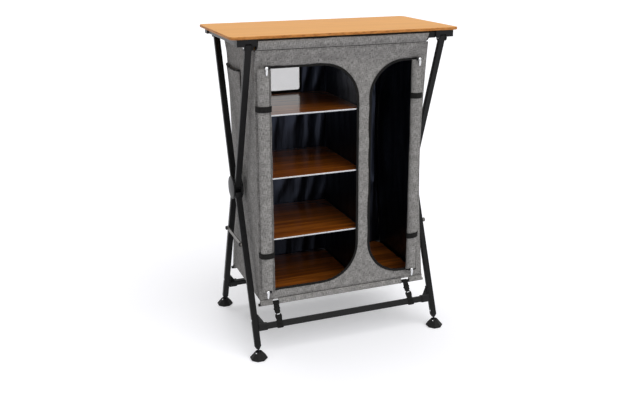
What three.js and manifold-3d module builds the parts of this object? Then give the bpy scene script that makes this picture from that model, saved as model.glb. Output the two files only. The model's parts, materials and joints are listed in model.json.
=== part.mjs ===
// Camping wardrobe: a bamboo tabletop on a folding tube frame, with a fabric cabinet hung
// between the two X-shaped side frames. Millimetres, +Z up, +X to the right of someone
// facing the doors, the front faces -Y. The origin is on the floor, under the middle.
import * as THREE from "three";
import { mergeVertices } from "three/addons/utils/BufferGeometryUtils.js";
import Module from "manifold-3d";

const wasm = await Module();
wasm.setup();

// Driving dimensions of the whole wardrobe
const overallHeight = 1250;
const tabletopWidth = 910;
const tabletopDepth = 490;
const tabletopThickness = 10.5;
const tabletopCornerRadius = 20;
const tabletopEdgeRounding = 2;
const gap = 0.3;
const cutOverrun = 1;
const halfWidth = tabletopWidth / 2;
const halfDepth = tabletopDepth / 2;

// Extruded aluminium tube used for every leg, rail and bar
const tubeWidth = 25;
const tubeDepth = 18;
const tubeWall = 1.5;
const tubeCornerRadius = 4;

// Top frame: side rails outside the legs, front and rear rails inside the fabric sleeves.
// An inset is a distance in from the tabletop's edge
const sideRailInset = 39;
const crossRailInset = 17;
const crossRailTopRoom = 2.4;
const cornerJointSideInset = 24;
const cornerJointWidth = 74;
const cornerJointDepth = 36;
const cornerJointEndInset = 2;
const railSpigotLength = 20;
const legEndRoom = 16;
const earThickness = 4;
const earRadius = 12;

// Side frames: two upper tubes and two folding lower tubes meet at each hub
const legInset = 67.5;
const legTopPivotInset = 14;
const legTopPivotDrop = 40;
const hubHeight = 628;
const hubRadius = 46;
const hubPivotY = 30;
const hubPivotRise = 22;
const hubCheekThickness = 4;
const hubInnerCheekThickness = 3;
const hubInnerCheekRadius = 44;
const hubCoreWidth = 28;
const hubCoreHeight = 64;
const hubRimChamfer = 1.5;
const tubeEndOver = 10;
const collarWidth = 31;
const collarDepth = 22;
const collarAbovePivot = 6;
const collarBelowPivot = 15;

// Feet: rubber pads on ball-ended threaded studs
const footOverhang = 17.6;
const ballHeight = 20;
const ballRadius = 7.5;
const studRadius = 4;
const studLength = 74;
const legEndToBall = 30;
const plugTaper = 12;
const plugSpigot = 20;
const plugTipWidth = 12;
const footRadius = 35;
const footBandHeight = 6;
const footTopRadius = 14.5;
const footHeight = 30;
const footSides = 8;
const socketFloor = 12;
const socketRadius = 8.4;
const socketMouthRadius = 12;

// Cross bars between the lower legs, with their end brackets
const barHeight = 114;
const bracketWall = 2.5;
const bracketSleeveLength = 34;
const bracketFlange = 3;
const gussetHeight = 36;
const gussetThickness = 4;

// Stays: flat strips that hold the lower legs at their spread
const stayHeight = 421;
const stayWidth = 16;
const stayThickness = 3;
const stayKnobRadius = 8.5;
const stayKnobHeight = 5;

// Fabric cabinet. Its corner edges have insets too: the bow is how far the pull of the fabric
// draws the edge in at half height, the tuck how far it goes in under the sleeve
const fabricThickness = 1.5;
const bodyInset = 42;
const hemHeight = 190;
const hemSeamRise = 26;
const sleeveSeamDrop = 53;
const flareHeight = 67;
const sleeveEndInsets = {
  left: { bottom: 98, top: 101 },
  right: { bottom: 135, top: 120.5 },
};
const dividerShare = 0.158;
const floorFabricRise = 30.7;
const liningWave = 3;
const liningWaveLength = 68;
const liningLap = 4;
const liningInset = 0.6;
const liningOffset = 0.4;
const cornerEdges = {
  frontLeft: { side: -1, bottom: 95.5, top: 95, bow: 0, tuck: 0 },
  rearLeft: { side: -1, bottom: 96, top: 99, bow: 14, tuck: 0 },
  frontRight: { side: 1, bottom: 103, top: 112, bow: 24, tuck: 13 },
  rearRight: { side: 1, bottom: 104, top: 112, bow: 20, tuck: 13 },
};

// Door openings in the front panel, each a D shape with two large round corners beside the
// divider and the rolled door over its straight edge
const openingTopDrop = 115;
const openingBottomRise = 61;
const openingRadiusShare = 0.732;
const doors = {
  left: { side: -1, straightInset: 133, dividerRoom: 17, rollOut: 34, rollIn: 19.5 },
  right: { side: 1, straightInset: 152, dividerRoom: 26, rollOut: 12.5, rollIn: 35 },
};
const rollDepth = 30;
const rollTopRoom = 7;
const rollBottomRoom = 5;

// Hem rods and side pocket
const hemRodRadius = 6;
const hemRodOverhang = { left: 7, right: -2 };
const hemDepth = 15.6;
const pocketTopDrop = 155;
const pocketHeight = 315;
const pocketFrontY = -3;
const pocketRearRoom = 6;
const pocketBulge = 12;

// Shelf and floor boards
const boardThickness = 5;
const boardCornerRadius = 25;
const boardFrontRoom = 3.5;
const boardRearRoom = 6;
const shelfNames = ["bottom_shelf", "middle_shelf", "top_shelf"];
const shelfInset = 117;
const boardDividerRoom = 5;
const leftFloorBoardInset = 105;
const rightFloorBoardInset = 120;

// Buckle straps from the front hem rod to the front bar
const straps = {
  left: { side: -1, rodInset: 159, barInset: 167.5, notchWidth: 26 },
  right: { side: 1, rodInset: 183, barInset: 166, notchWidth: 36 },
};
const strapWidth = 22;
const strapThickness = 1.5;
const buckleWidth = 25;
const buckleThickness = 7;
const buckleHalfLength = 20;
const strapPartAboveBar = 42;

// Curve resolution
const arcSteps = 6;
const roundSteps = 24;
const edgeRows = 10;
const flareSteps = 4;
const foldSteps = 4;
const sideColumns = 4;
const pocketSteps = 8;

// Places and angles that follow from the dimensions above
const sideRailCentreX = halfWidth - sideRailInset;
const crossRailCentreY = halfDepth - crossRailInset;
const cornerJointOuterX = halfWidth - cornerJointSideInset;
const cornerJointInnerX = cornerJointOuterX - cornerJointWidth;
const cornerJointCentreY = halfDepth - cornerJointEndInset - cornerJointDepth / 2;
const legCentreX = halfWidth - legInset;
const legTopPivotY = halfDepth - legTopPivotInset;
const footY = halfDepth + footOverhang;
const bodyHalfDepth = halfDepth - bodyInset;
const sleeveSeamHeight = overallHeight - sleeveSeamDrop;
const flareStartHeight = sleeveSeamHeight - flareHeight;
const floorFabricTop = hemHeight + floorFabricRise;
const openingTop = overallHeight - openingTopDrop;
const openingBottom = hemHeight + openingBottomRise;
const dividerX = halfWidth * dividerShare;
const rightOpeningWidth =
  halfWidth - doors.right.straightInset - dividerX - doors.right.dividerRoom;
const openingRadius = rightOpeningWidth * openingRadiusShare;
const boardFrontY = boardFrontRoom - bodyHalfDepth;
const boardRearY = bodyHalfDepth - boardRearRoom;
const tabletopUnderside = overallHeight - tabletopThickness;
const frameTop = tabletopUnderside - gap;
const legTopPivotZ = overallHeight - legTopPivotDrop;
const upperPivotZ = hubHeight + hubPivotRise;
const lowerPivotZ = hubHeight - hubPivotRise;
const upperLean = Math.atan2(legTopPivotY - hubPivotY, legTopPivotZ - upperPivotZ);
const lowerLean = Math.atan2(footY - hubPivotY, lowerPivotZ - ballHeight);
const upperLegLength = Math.hypot(legTopPivotY - hubPivotY, legTopPivotZ - upperPivotZ);
const ballDistance = Math.hypot(footY - hubPivotY, lowerPivotZ - ballHeight);
const lowerLegEnd = ballDistance - legEndToBall;
const barDistance = (lowerPivotZ - barHeight) / Math.cos(lowerLean);
const stayPivotY = hubPivotY + (lowerPivotZ - stayHeight) * Math.tan(lowerLean);
const crossRailTop = frameTop - crossRailTopRoom;
const hemRodZ = hemHeight + fabricThickness + gap + hemRodRadius;

// Finishes
const finish = (color, roughness, metalness) =>
  new THREE.MeshStandardMaterial({ color, roughness, metalness });
const bamboo = finish("#dca468", 0.45, 0);
const anodised = finish("#232427", 0.45, 0.5);
const plastic = finish("#17181a", 0.5, 0);
const rubber = finish("#222120", 0.85, 0);
const steel = finish("#8b8c8d", 0.35, 0.9);
const melange = finish("#7d7b77", 0.95, 0);
const lining = finish("#15161c", 0.85, 0);
const walnut = finish("#4a2308", 0.2, 0);
const webbing = finish("#161514", 0.9, 0);

// Booleans on closed three.js geometries
const weldTolerance = 1e-4;

function solidOf(geometry) {
  const bare = geometry.clone();
  bare.deleteAttribute("normal");
  bare.deleteAttribute("uv");
  const merged = mergeVertices(bare, weldTolerance);
  return new wasm.Manifold(
    new wasm.Mesh({
      numProp: 3,
      vertProperties: new Float32Array(merged.attributes.position.array),
      triVerts: new Uint32Array(merged.index.array),
    }),
  );
}

function geometryOf(solid) {
  const mesh = solid.getMesh();
  const geometry = new THREE.BufferGeometry();
  geometry.setAttribute("position", new THREE.BufferAttribute(mesh.vertProperties, 3));
  geometry.setIndex(new THREE.BufferAttribute(mesh.triVerts, 1));
  return geometry;
}

const joined = (...geometries) =>
  geometryOf(geometries.map(solidOf).reduce((whole, next) => whole.add(next)));

const cut = (geometry, ...tools) =>
  geometryOf(tools.map(solidOf).reduce((rest, tool) => rest.subtract(tool), solidOf(geometry)));

const common = (a, b) => geometryOf(solidOf(a).intersect(solidOf(b)));

// Extrusions along each axis: the outline is given in the two other axes, in X, Y, Z order
const toAxis = {
  x: new THREE.Matrix4().makeBasis(
    new THREE.Vector3(0, 1, 0), new THREE.Vector3(0, 0, 1), new THREE.Vector3(1, 0, 0)),
  y: new THREE.Matrix4().makeBasis(
    new THREE.Vector3(0, 0, 1), new THREE.Vector3(1, 0, 0), new THREE.Vector3(0, 1, 0)),
  z: new THREE.Matrix4(),
};

const shapeOf = (points) => new THREE.Shape(points.map(([a, b]) => new THREE.Vector2(a, b)));

function extruded(axis, points, from, to) {
  const outline = axis === "y" ? points.map(([a, b]) => [b, a]) : points;
  const geometry = new THREE.ExtrudeGeometry(shapeOf(outline), {
    depth: to - from,
    bevelEnabled: false,
  });
  geometry.translate(0, 0, from);
  return geometry.applyMatrix4(toAxis[axis]);
}

const hollow = (axis, outline, bores, from, to) =>
  cut(extruded(axis, outline, from, to),
    ...bores.map((bore) => extruded(axis, bore, from - cutOverrun, to + cutOverrun)));

function box(x, y, z) {
  const geometry = new THREE.BoxGeometry(x[1] - x[0], y[1] - y[0], z[1] - z[0]);
  return geometry.translate((x[0] + x[1]) / 2, (y[0] + y[1]) / 2, (z[0] + z[1]) / 2);
}

const centred = (size) => [-size / 2, size / 2];

// A rectangle's outline with round corners, centred on its own middle
function roundedOutline(width, height, radius, steps = 3) {
  const corners = [[1, 1, 0], [-1, 1, 1], [-1, -1, 2], [1, -1, 3]];
  return corners.flatMap(([sideA, sideB, quarter]) =>
    Array.from({ length: steps + 1 }, (_, i) => {
      const angle = (quarter + i / steps) * (Math.PI / 2);
      return [
        sideA * (width / 2 - radius) + radius * Math.cos(angle),
        sideB * (height / 2 - radius) + radius * Math.sin(angle),
      ];
    }),
  );
}

const circleOutline = (radius, steps, [a, b] = [0, 0]) =>
  Array.from({ length: steps }, (_, i) => {
    const angle = ((i + 0.5) / steps) * 2 * Math.PI;
    return [a + radius * Math.cos(angle), b + radius * Math.sin(angle)];
  });

// A hollow tube along an axis: sizeA and sizeB are its outer sizes in the two other axes
function tube(axis, sizeA, sizeB, from, to) {
  const bore = roundedOutline(
    sizeA - 2 * tubeWall, sizeB - 2 * tubeWall, tubeCornerRadius - tubeWall, 1);
  return hollow(axis, roundedOutline(sizeA, sizeB, tubeCornerRadius, 2), [bore], from, to);
}

// A spigot that plugs into the bore of a tube
function spigot(axis, sizeA, sizeB, from, to) {
  const inset = 2 * (tubeWall + gap);
  const outline = roundedOutline(sizeA - inset, sizeB - inset, tubeCornerRadius - tubeWall, 1);
  return extruded(axis, outline, from, to);
}

const wardrobe = new THREE.Group();

function addPiece(parent, name, geometry, material) {
  const mesh = new THREE.Mesh(geometry, material);
  mesh.name = name;
  parent.add(mesh);
  return mesh;
}

const ends = [
  { name: "front", side: -1 },
  { name: "rear", side: 1 },
];
const sides = [
  { name: "left", side: -1 },
  { name: "right", side: 1 },
];

// Tabletop: one bamboo board with rounded corners and softened edges
function tabletopGeometry() {
  const width = tabletopWidth - 2 * tabletopEdgeRounding;
  const depth = tabletopDepth - 2 * tabletopEdgeRounding;
  const radius = tabletopCornerRadius - tabletopEdgeRounding;
  const geometry = new THREE.ExtrudeGeometry(
    shapeOf(roundedOutline(width, depth, radius, arcSteps)),
    {
      depth: tabletopThickness - 2 * tabletopEdgeRounding,
      bevelThickness: tabletopEdgeRounding,
      bevelSize: tabletopEdgeRounding,
      bevelSegments: 2,
    },
  );
  return geometry.translate(0, 0, tabletopUnderside + tabletopEdgeRounding);
}

// Top frame
function addTopFrame() {
  const crossZ = crossRailTop - tubeWidth / 2;
  for (const { name, side } of ends) {
    const rail = tube("x", tubeDepth, tubeWidth, ...centred(2 * (cornerJointInnerX - gap)));
    rail.translate(0, side * crossRailCentreY, crossZ);
    addPiece(wardrobe, `${name}_rail`, rail, anodised);
  }
  const sideRailHalf = cornerJointCentreY - cornerJointDepth / 2 - gap;
  for (const { name, side } of sides) {
    const rail = tube("y", tubeDepth, tubeWidth, -sideRailHalf, sideRailHalf);
    rail.translate(side * sideRailCentreX, 0, frameTop - tubeWidth / 2);
    addPiece(wardrobe, `${name}_rail`, rail, anodised);
  }
  for (const end of ends)
    for (const flank of sides) {
      const name = `${end.name}_${flank.name}_corner_joint`;
      const joint = addPiece(wardrobe, name, cornerJointGeometry(), plastic);
      joint.scale.set(flank.side, end.side, 1);
    }
}

// One corner joint in the rear right quarter: a block on the leg's top with two ears round
// the leg, and a spigot into each of the two rails that meet there
function cornerJointGeometry() {
  const y = [
    cornerJointCentreY - cornerJointDepth / 2,
    cornerJointCentreY + cornerJointDepth / 2,
  ];
  const blockBottom = frameTop - tubeWidth;
  const slot = [legCentreX - tubeWidth / 2 - gap, legCentreX + tubeWidth / 2 + gap];
  const block = box([cornerJointInnerX, cornerJointOuterX], y, [blockBottom, frameTop]);
  const earOutline = [
    [legTopPivotY - earRadius, frameTop - legEndRoom],
    ...Array.from({ length: arcSteps + 1 }, (_, i) => {
      const angle = Math.PI + (i / arcSteps) * Math.PI;
      return [
        legTopPivotY + earRadius * Math.cos(angle),
        legTopPivotZ + earRadius * Math.sin(angle),
      ];
    }),
    [legTopPivotY + earRadius, frameTop - legEndRoom],
  ];
  const innerEar = extruded("x", earOutline, slot[0] - earThickness, slot[0]);
  const outerEar = extruded("x", earOutline, slot[1], slot[1] + earThickness);
  const clearLeg = box(slot, [y[0] - cutOverrun, y[1] + cutOverrun],
    [blockBottom - cutOverrun, frameTop - legEndRoom]);
  const crossSpigot = spigot("x", tubeDepth, tubeWidth,
    cornerJointInnerX - railSpigotLength, cornerJointInnerX + cutOverrun);
  crossSpigot.translate(0, crossRailCentreY, crossRailTop - tubeWidth / 2);
  const sideSpigot = spigot("y", tubeDepth, tubeWidth, y[0] - railSpigotLength, y[0] + cutOverrun);
  sideSpigot.translate(sideRailCentreX, 0, frameTop - tubeWidth / 2);
  return joined(cut(block, clearLeg), innerEar, outerEar, crossSpigot, sideSpigot);
}

// Upper legs lean out from the hub to the corner joints
function addUpperLegs() {
  for (const end of ends)
    for (const flank of sides) {
      const leg = new THREE.Group();
      leg.position.set(flank.side * legCentreX, end.side * hubPivotY, upperPivotZ);
      leg.rotation.x = -end.side * upperLean;
      wardrobe.add(leg);
      const geometry = tube("z", tubeWidth, tubeDepth, -tubeEndOver, upperLegLength + tubeEndOver);
      addPiece(leg, `${end.name}_${flank.name}_upper_leg`, geometry, anodised);
    }
}

// Hub: an outer and an inner cheek on a core, with room between for the four tubes
function hubGeometry() {
  const tubeFace = tubeWidth / 2 + gap;
  const outerFace = collarWidth / 2 + gap;
  const disc = (radius, from, to) => extruded("x", circleOutline(radius, roundSteps), from, to);
  const rim = new THREE.CylinderGeometry(
    hubRadius - hubRimChamfer, hubRadius, hubRimChamfer, roundSteps);
  rim.rotateZ(-Math.PI / 2);
  rim.rotateX(Math.PI / roundSteps);
  const rimStart = outerFace + hubCheekThickness - hubRimChamfer;
  rim.translate(rimStart + hubRimChamfer / 2, 0, 0);
  const outer = disc(hubRadius - hubRimChamfer / 2, outerFace, rimStart + hubRimChamfer / 2);
  const inner = disc(hubInnerCheekRadius, -outerFace - hubInnerCheekThickness, -outerFace);
  const core = box([-outerFace - cutOverrun, outerFace + cutOverrun],
    centred(hubCoreWidth), centred(hubCoreHeight));
  const bosses = [];
  for (const y of [-1, 1]) {
    const place = [y * hubPivotY, hubPivotRise];
    bosses.push(extruded("x", circleOutline(earRadius, arcSteps * 2, place),
      tubeFace, outerFace + cutOverrun));
    bosses.push(extruded("x", circleOutline(earRadius, arcSteps * 2, place),
      -outerFace - cutOverrun, -tubeFace));
  }
  return joined(outer, rim, inner, core, ...bosses);
}

function addHubs() {
  for (const { name, side } of sides) {
    const hub = addPiece(wardrobe, `${name}_hub`, hubGeometry(), plastic);
    hub.position.set(side * legCentreX, 0, hubHeight);
    hub.scale.x = side;
  }
}

// A lower leg hangs from its pivot along -Z in its own frame, with a plastic collar moulded
// over the end that turns between the hub's cheeks
function lowerLegGeometry() {
  const leg = tube("z", tubeWidth, tubeDepth, -lowerLegEnd, collarAbovePivot - fabricThickness);
  const collar = extruded("z", roundedOutline(collarWidth, collarDepth, tubeCornerRadius, 2),
    -collarBelowPivot, collarAbovePivot);
  return joined(leg, collar);
}

// The plug closes the leg's lower end, tapers to the stud and has a bore that the stud turns in
function plugGeometry() {
  const bore = extruded("z", circleOutline(studRadius + gap, arcSteps * 2),
    -lowerLegEnd - plugTaper - cutOverrun, -lowerLegEnd + plugSpigot + cutOverrun);
  const inside = spigot("z", tubeWidth, tubeDepth,
    -lowerLegEnd - gap - cutOverrun, -lowerLegEnd + plugSpigot);
  const taper = loft([
    { outline: roundedOutline(plugTipWidth, plugTipWidth, tubeCornerRadius, 2),
      z: -lowerLegEnd - plugTaper },
    { outline: roundedOutline(tubeWidth, tubeDepth, tubeCornerRadius, 2), z: -lowerLegEnd - gap },
  ]);
  return cut(joined(inside, taper), bore);
}

// A closed solid through outlines with the same number of points, from low to high Z
function loft(rings) {
  const count = rings[0].outline.length;
  const positions = rings.flatMap(({ outline, z }) => outline.flatMap(([a, b]) => [a, b, z]));
  const index = [];
  for (let r = 0; r < rings.length - 1; r++)
    for (let i = 0; i < count; i++) {
      const next = (i + 1) % count;
      const low = r * count;
      const high = low + count;
      index.push(low + i, low + next, high + next);
      index.push(low + i, high + next, high + i);
    }
  const top = (rings.length - 1) * count;
  for (let i = 1; i < count - 1; i++) {
    index.push(0, i + 1, i);
    index.push(top, top + i, top + i + 1);
  }
  const geometry = new THREE.BufferGeometry();
  geometry.setAttribute("position", new THREE.Float32BufferAttribute(positions, 3));
  geometry.setIndex(index);
  return geometry;
}

// A threaded stud with a ball at its lower end, which the foot tilts on
function studGeometry() {
  const ball = new THREE.SphereGeometry(ballRadius, arcSteps * 2, arcSteps);
  ball.rotateX(Math.PI / 2);
  ball.translate(0, 0, -ballDistance);
  const shank = extruded("z", circleOutline(studRadius, arcSteps * 2),
    -ballDistance, -ballDistance + studLength);
  return joined(ball, shank);
}

// A rubber foot: an eight-sided pad with sloping flanks and a socket for the ball
function footGeometry() {
  const ring = (radius, z) => ({ outline: circleOutline(radius, footSides), z });
  const pad = loft([
    ring(footRadius - footBandHeight / 2, 0),
    ring(footRadius, footBandHeight / 2),
    ring(footRadius, footBandHeight),
    ring(footTopRadius, footHeight),
  ]);
  const socket = new THREE.LatheGeometry(
    [
      [0, socketFloor],
      [socketRadius, socketFloor],
      [socketRadius, ballHeight],
      [socketMouthRadius, footHeight],
      [socketMouthRadius, footHeight + cutOverrun],
      [0, footHeight + cutOverrun],
    ].map(([r, z]) => new THREE.Vector2(r, z)),
    arcSteps * 2,
  );
  socket.rotateX(Math.PI / 2);
  return cut(pad, socket);
}

// Bracket at the right end of a bar: a sleeve over the bar, a flange on the leg and a gusset
function bracketGeometry() {
  const outer = legCentreX - tubeWidth / 2 - gap;
  const inner = outer - bracketSleeveLength;
  const flangeInner = outer - bracketFlange;
  const sleeveDepth = tubeDepth + 2 * (bracketWall + gap);
  const sleeveHeight = tubeWidth + 2 * (bracketWall + gap);
  const sleeve = extruded("x", roundedOutline(sleeveDepth, sleeveHeight, tubeCornerRadius, 2),
    inner, outer);
  sleeve.translate(0, 0, -barDistance);
  const room = box([inner - cutOverrun, flangeInner], centred(tubeDepth + 2 * gap),
    [-barDistance - tubeWidth / 2 - gap, -barDistance + tubeWidth / 2 + gap]);
  const gussetBase = -barDistance + sleeveHeight / 2 - bracketWall / 2;
  const gusset = extruded("y", [
    [outer, gussetBase],
    [outer, gussetBase + gussetHeight],
    [flangeInner, gussetBase + gussetHeight],
    [inner + bracketSleeveLength / 4, gussetBase],
  ], ...centred(gussetThickness));
  const flange = box([flangeInner, outer], centred(tubeDepth),
    [-barDistance, gussetBase + gussetHeight]);
  return cut(joined(sleeve, gusset, flange), room);
}

// Each lower leg frame is two legs and a bar that turn together about the hub pivots
function addLowerLegFrame({ name, side }) {
  const frame = new THREE.Group();
  frame.position.set(0, side * hubPivotY, lowerPivotZ);
  frame.rotation.x = side * lowerLean;
  wardrobe.add(frame);
  const bar = tube("x", tubeDepth, tubeWidth,
    ...centred(2 * (legCentreX - tubeWidth / 2 - bracketFlange - 2 * gap)));
  bar.translate(0, 0, -barDistance);
  addPiece(frame, `${name}_bar`, bar, anodised);
  for (const flank of sides) {
    const corner = `${name}_${flank.name}`;
    const x = flank.side * legCentreX;
    addPiece(frame, `${corner}_lower_leg`, lowerLegGeometry(), anodised).position.x = x;
    addPiece(frame, `${corner}_leg_plug`, plugGeometry(), plastic).position.x = x;
    addPiece(frame, `${corner}_foot_stud`, studGeometry(), steel).position.x = x;
    addPiece(frame, `${corner}_bracket`, bracketGeometry(), plastic).scale.x = flank.side;
    const foot = addPiece(wardrobe, `${corner}_foot`, footGeometry(), rubber);
    foot.position.set(x, side * footY, 0);
  }
  return frame;
}

// Stay: a flat strip outside the legs, with a knob at each end
function addStays() {
  const face = legCentreX + tubeWidth / 2 + gap;
  for (const { name, side } of sides) {
    const length = 2 * stayPivotY + stayWidth;
    const strip = extruded("x", roundedOutline(length, stayWidth, stayWidth / 2, 3),
      face, face + stayThickness);
    const knobs = [-1, 1].map((end) =>
      extruded("x", circleOutline(stayKnobRadius, arcSteps * 2, [end * stayPivotY, 0]),
        face + stayThickness - cutOverrun, face + stayThickness + stayKnobHeight));
    const stay = addPiece(wardrobe, `${name}_stay`, joined(strip, ...knobs), anodised);
    stay.position.z = stayHeight;
    stay.scale.x = side;
  }
}

// How far the cloth is on its way from the upright part of the cabinet to the rails
const flareShare = (z) => THREE.MathUtils.smoothstep(z, flareStartHeight, sleeveSeamHeight);

// The X of one upright edge of the cabinet at a height
function edgeX({ side, bottom, top, bow, tuck }, z) {
  const share = (z - hemHeight) / (sleeveSeamHeight - hemHeight);
  const along = THREE.MathUtils.clamp(share, 0, 1);
  const inset = bottom + (top - bottom) * along + bow * Math.sin(Math.PI * along);
  return side * (halfWidth - inset - tuck * flareShare(z));
}

// The distance of the cabinet's front or rear cloth from the middle: it flares to the rails
const clothY = (z) => bodyHalfDepth + (crossRailCentreY - bodyHalfDepth) * flareShare(z);

const heights = (from, to, rows) =>
  Array.from({ length: rows + 1 }, (_, i) => from + ((to - from) * i) / rows);

const straightHeights = heights(hemHeight + hemSeamRise, flareStartHeight, edgeRows);
const flareHeights = heights(flareStartHeight, sleeveSeamHeight, flareSteps);

// Section of a front or rear panel in depth and height: the sleeve round the rail, the
// cloth below it and the hem loop round the rod
function panelSection() {
  const half = tubeDepth / 2 + gap;
  const outerHalf = half + fabricThickness;
  const railBottom = crossRailTop - tubeWidth;
  const hemSeam = hemHeight + hemSeamRise;
  const hemCentre = bodyHalfDepth + fabricThickness / 2;
  const hemHalf = hemDepth / 2;
  const sleeveBottom = sleeveSeamHeight + fabricThickness;
  const outline = [
    [hemCentre - hemHalf + fabricThickness, hemHeight],
    [hemCentre + hemHalf - fabricThickness, hemHeight],
    [hemCentre + hemHalf, hemHeight + fabricThickness],
    [hemCentre + hemHalf, hemRodZ + hemRodRadius],
    [bodyHalfDepth + fabricThickness, hemSeam],
    ...flareHeights.map((z) => [clothY(z) + fabricThickness, z]),
    [crossRailCentreY + outerHalf, railBottom - gap],
    [crossRailCentreY + outerHalf, crossRailTop + gap],
    [crossRailCentreY + half, crossRailTop + gap + fabricThickness],
    [crossRailCentreY - half, crossRailTop + gap + fabricThickness],
    [crossRailCentreY - outerHalf, crossRailTop + gap],
    [crossRailCentreY - outerHalf, railBottom - gap],
    ...flareHeights.map((z) => [clothY(z), z]).reverse(),
    [bodyHalfDepth, hemSeam],
    [hemCentre - hemHalf, hemRodZ + hemRodRadius],
    [hemCentre - hemHalf, hemHeight + fabricThickness],
  ];
  const railHole = [
    [crossRailCentreY - half, crossRailTop + gap],
    [crossRailCentreY + half, crossRailTop + gap],
    [crossRailCentreY + half, railBottom - gap],
    [crossRailCentreY + fabricThickness, sleeveBottom],
    [crossRailCentreY, sleeveBottom],
    [crossRailCentreY - half, railBottom - gap],
  ];
  const rodHole = circleOutline(hemRodRadius + gap, arcSteps * 2, [hemCentre, hemRodZ]);
  return { outline, holes: [railHole, rodHole] };
}

// The panel's front view: its bowed edges, narrower at the rail sleeve
function panelOutline(leftEdge, rightEdge) {
  const rows = [hemHeight - cutOverrun, ...straightHeights, ...flareHeights.slice(1)];
  const sleeveTop = frameTop + cutOverrun;
  const sleeveBottom = sleeveSeamHeight + fabricThickness;
  return [
    ...rows.map((z) => [edgeX(leftEdge, z), z]),
    [sleeveEndInsets.left.bottom - halfWidth, sleeveBottom],
    [sleeveEndInsets.left.top - halfWidth, sleeveTop],
    [halfWidth - sleeveEndInsets.right.top, sleeveTop],
    [halfWidth - sleeveEndInsets.right.bottom, sleeveBottom],
    ...rows.map((z) => [edgeX(rightEdge, z), z]).reverse(),
  ];
}

function panelGeometry(side, leftEdge, rightEdge) {
  const { outline, holes } = panelSection();
  const facing = (points) => points.map(([y, z]) => [side * y, z]);
  const section = hollow("x", facing(outline), holes.map(facing), -halfWidth, halfWidth);
  const view = extruded("y", panelOutline(leftEdge, rightEdge), -halfDepth, halfDepth);
  return common(section, view);
}

// A door opening as a D: straight on the side of the rolled door, round on the other
function openingTool({ side, straightInset, dividerRoom }) {
  const straightX = side * (halfWidth - straightInset);
  const roundX = dividerX + side * dividerRoom;
  const centreX = roundX + side * openingRadius;
  const arc = (centreZ, start) =>
    Array.from({ length: arcSteps * 2 + 1 }, (_, i) => {
      const angle = start - (i / (arcSteps * 2)) * (Math.PI / 2);
      return [
        centreX - side * openingRadius * Math.cos(angle),
        centreZ + openingRadius * Math.sin(angle),
      ];
    });
  const outline = [
    [straightX, openingBottom],
    [straightX, openingTop],
    ...arc(openingTop - openingRadius, Math.PI / 2),
    ...arc(openingBottom + openingRadius, 0),
  ];
  return extruded("y", outline, -halfDepth, 0);
}

// A notch in the front hem where a buckle strap loops round the rod
function hemNotch({ side, rodInset, notchWidth }) {
  const rodX = side * (halfWidth - rodInset);
  const depth = [-bodyHalfDepth - hemDepth, -bodyHalfDepth + hemDepth];
  return box([rodX - notchWidth / 2, rodX + notchWidth / 2], depth,
    [hemHeight - cutOverrun, hemRodZ + hemRodRadius + 2 * gap + strapThickness]);
}

// The rear cloth hangs in soft vertical folds, and laps the flat bands above and below it
function foldedCloth(from, to) {
  const width = tabletopWidth - cornerEdges.rearLeft.bottom - cornerEdges.rearRight.bottom;
  const columns = Math.round(width / liningWaveLength) * foldSteps;
  return slab(columns, edgeRows, (u, v) => {
    const z = from + (to - from) * v;
    const left = edgeX(cornerEdges.rearLeft, z) + liningInset;
    const right = edgeX(cornerEdges.rearRight, z) - liningInset;
    const x = left + (right - left) * u;
    const swell = Math.sqrt(Math.abs(Math.sin(Math.PI * u) * Math.sin(Math.PI * v)));
    const fold = (1 - Math.cos((2 * Math.PI * x) / liningWaveLength)) / 2;
    return [x, bodyHalfDepth + liningOffset - liningWave * fold * swell, z];
  }, [0, fabricThickness, 0]);
}

function rearPanelGeometry(leftEdge, rightEdge) {
  const from = hemHeight + hemSeamRise;
  const flatPart = box(centred(tabletopWidth), [0, halfDepth],
    [from + liningLap, flareStartHeight - liningLap]);
  const bands = cut(panelGeometry(1, leftEdge, rightEdge), flatPart);
  const lapped = foldedCloth(from + liningInset, flareStartHeight - liningInset);
  return joined(bands, lapped);
}

// A closed slab: a grid of points from a function of two shares, given a thickness
function slab(columns, rows, pointAt, thickness) {
  const positions = [];
  for (const layer of [0, 1])
    for (let j = 0; j <= rows; j++)
      for (let i = 0; i <= columns; i++) {
        const point = pointAt(i / columns, j / rows, layer);
        positions.push(...point.map((value, k) => value + layer * thickness[k]));
      }
  const stride = columns + 1;
  const layerSize = stride * (rows + 1);
  const index = [];
  const quad = (a, b, c, d) => index.push(a, b, c, a, c, d);
  for (let j = 0; j < rows; j++)
    for (let i = 0; i < columns; i++) {
      const a = j * stride + i;
      quad(a, a + 1, a + stride + 1, a + stride);
      const b = a + layerSize;
      quad(b, b + stride, b + stride + 1, b + 1);
    }
  const wall = (a, b) => quad(b, a, a + layerSize, b + layerSize);
  for (let i = 0; i < columns; i++) {
    wall(i, i + 1);
    wall(rows * stride + i + 1, rows * stride + i);
  }
  for (let j = 0; j < rows; j++) {
    wall((j + 1) * stride, j * stride);
    wall(j * stride + columns, (j + 1) * stride + columns);
  }
  const geometry = new THREE.BufferGeometry();
  geometry.setAttribute("position", new THREE.Float32BufferAttribute(positions, 3));
  geometry.setIndex(index);
  if (solidOf(geometry).volume() < 0) geometry.setIndex(index.reverse());
  return geometry;
}

// Side panels run between the front and rear panels, with their outer face on the edges
function sidePanelGeometry(side, frontEdge, rearEdge) {
  const rows = [...straightHeights, ...flareHeights.slice(1)];
  return slab(sideColumns, rows.length - 1, (u, v) => {
    const z = rows[Math.round(v * (rows.length - 1))];
    const reach = clothY(z) - gap;
    const front = edgeX(frontEdge, z);
    const x = front + (edgeX(rearEdge, z) - front) * u;
    return [x, -reach + 2 * reach * u, z];
  }, [-side * fabricThickness, 0, 0]);
}

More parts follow.
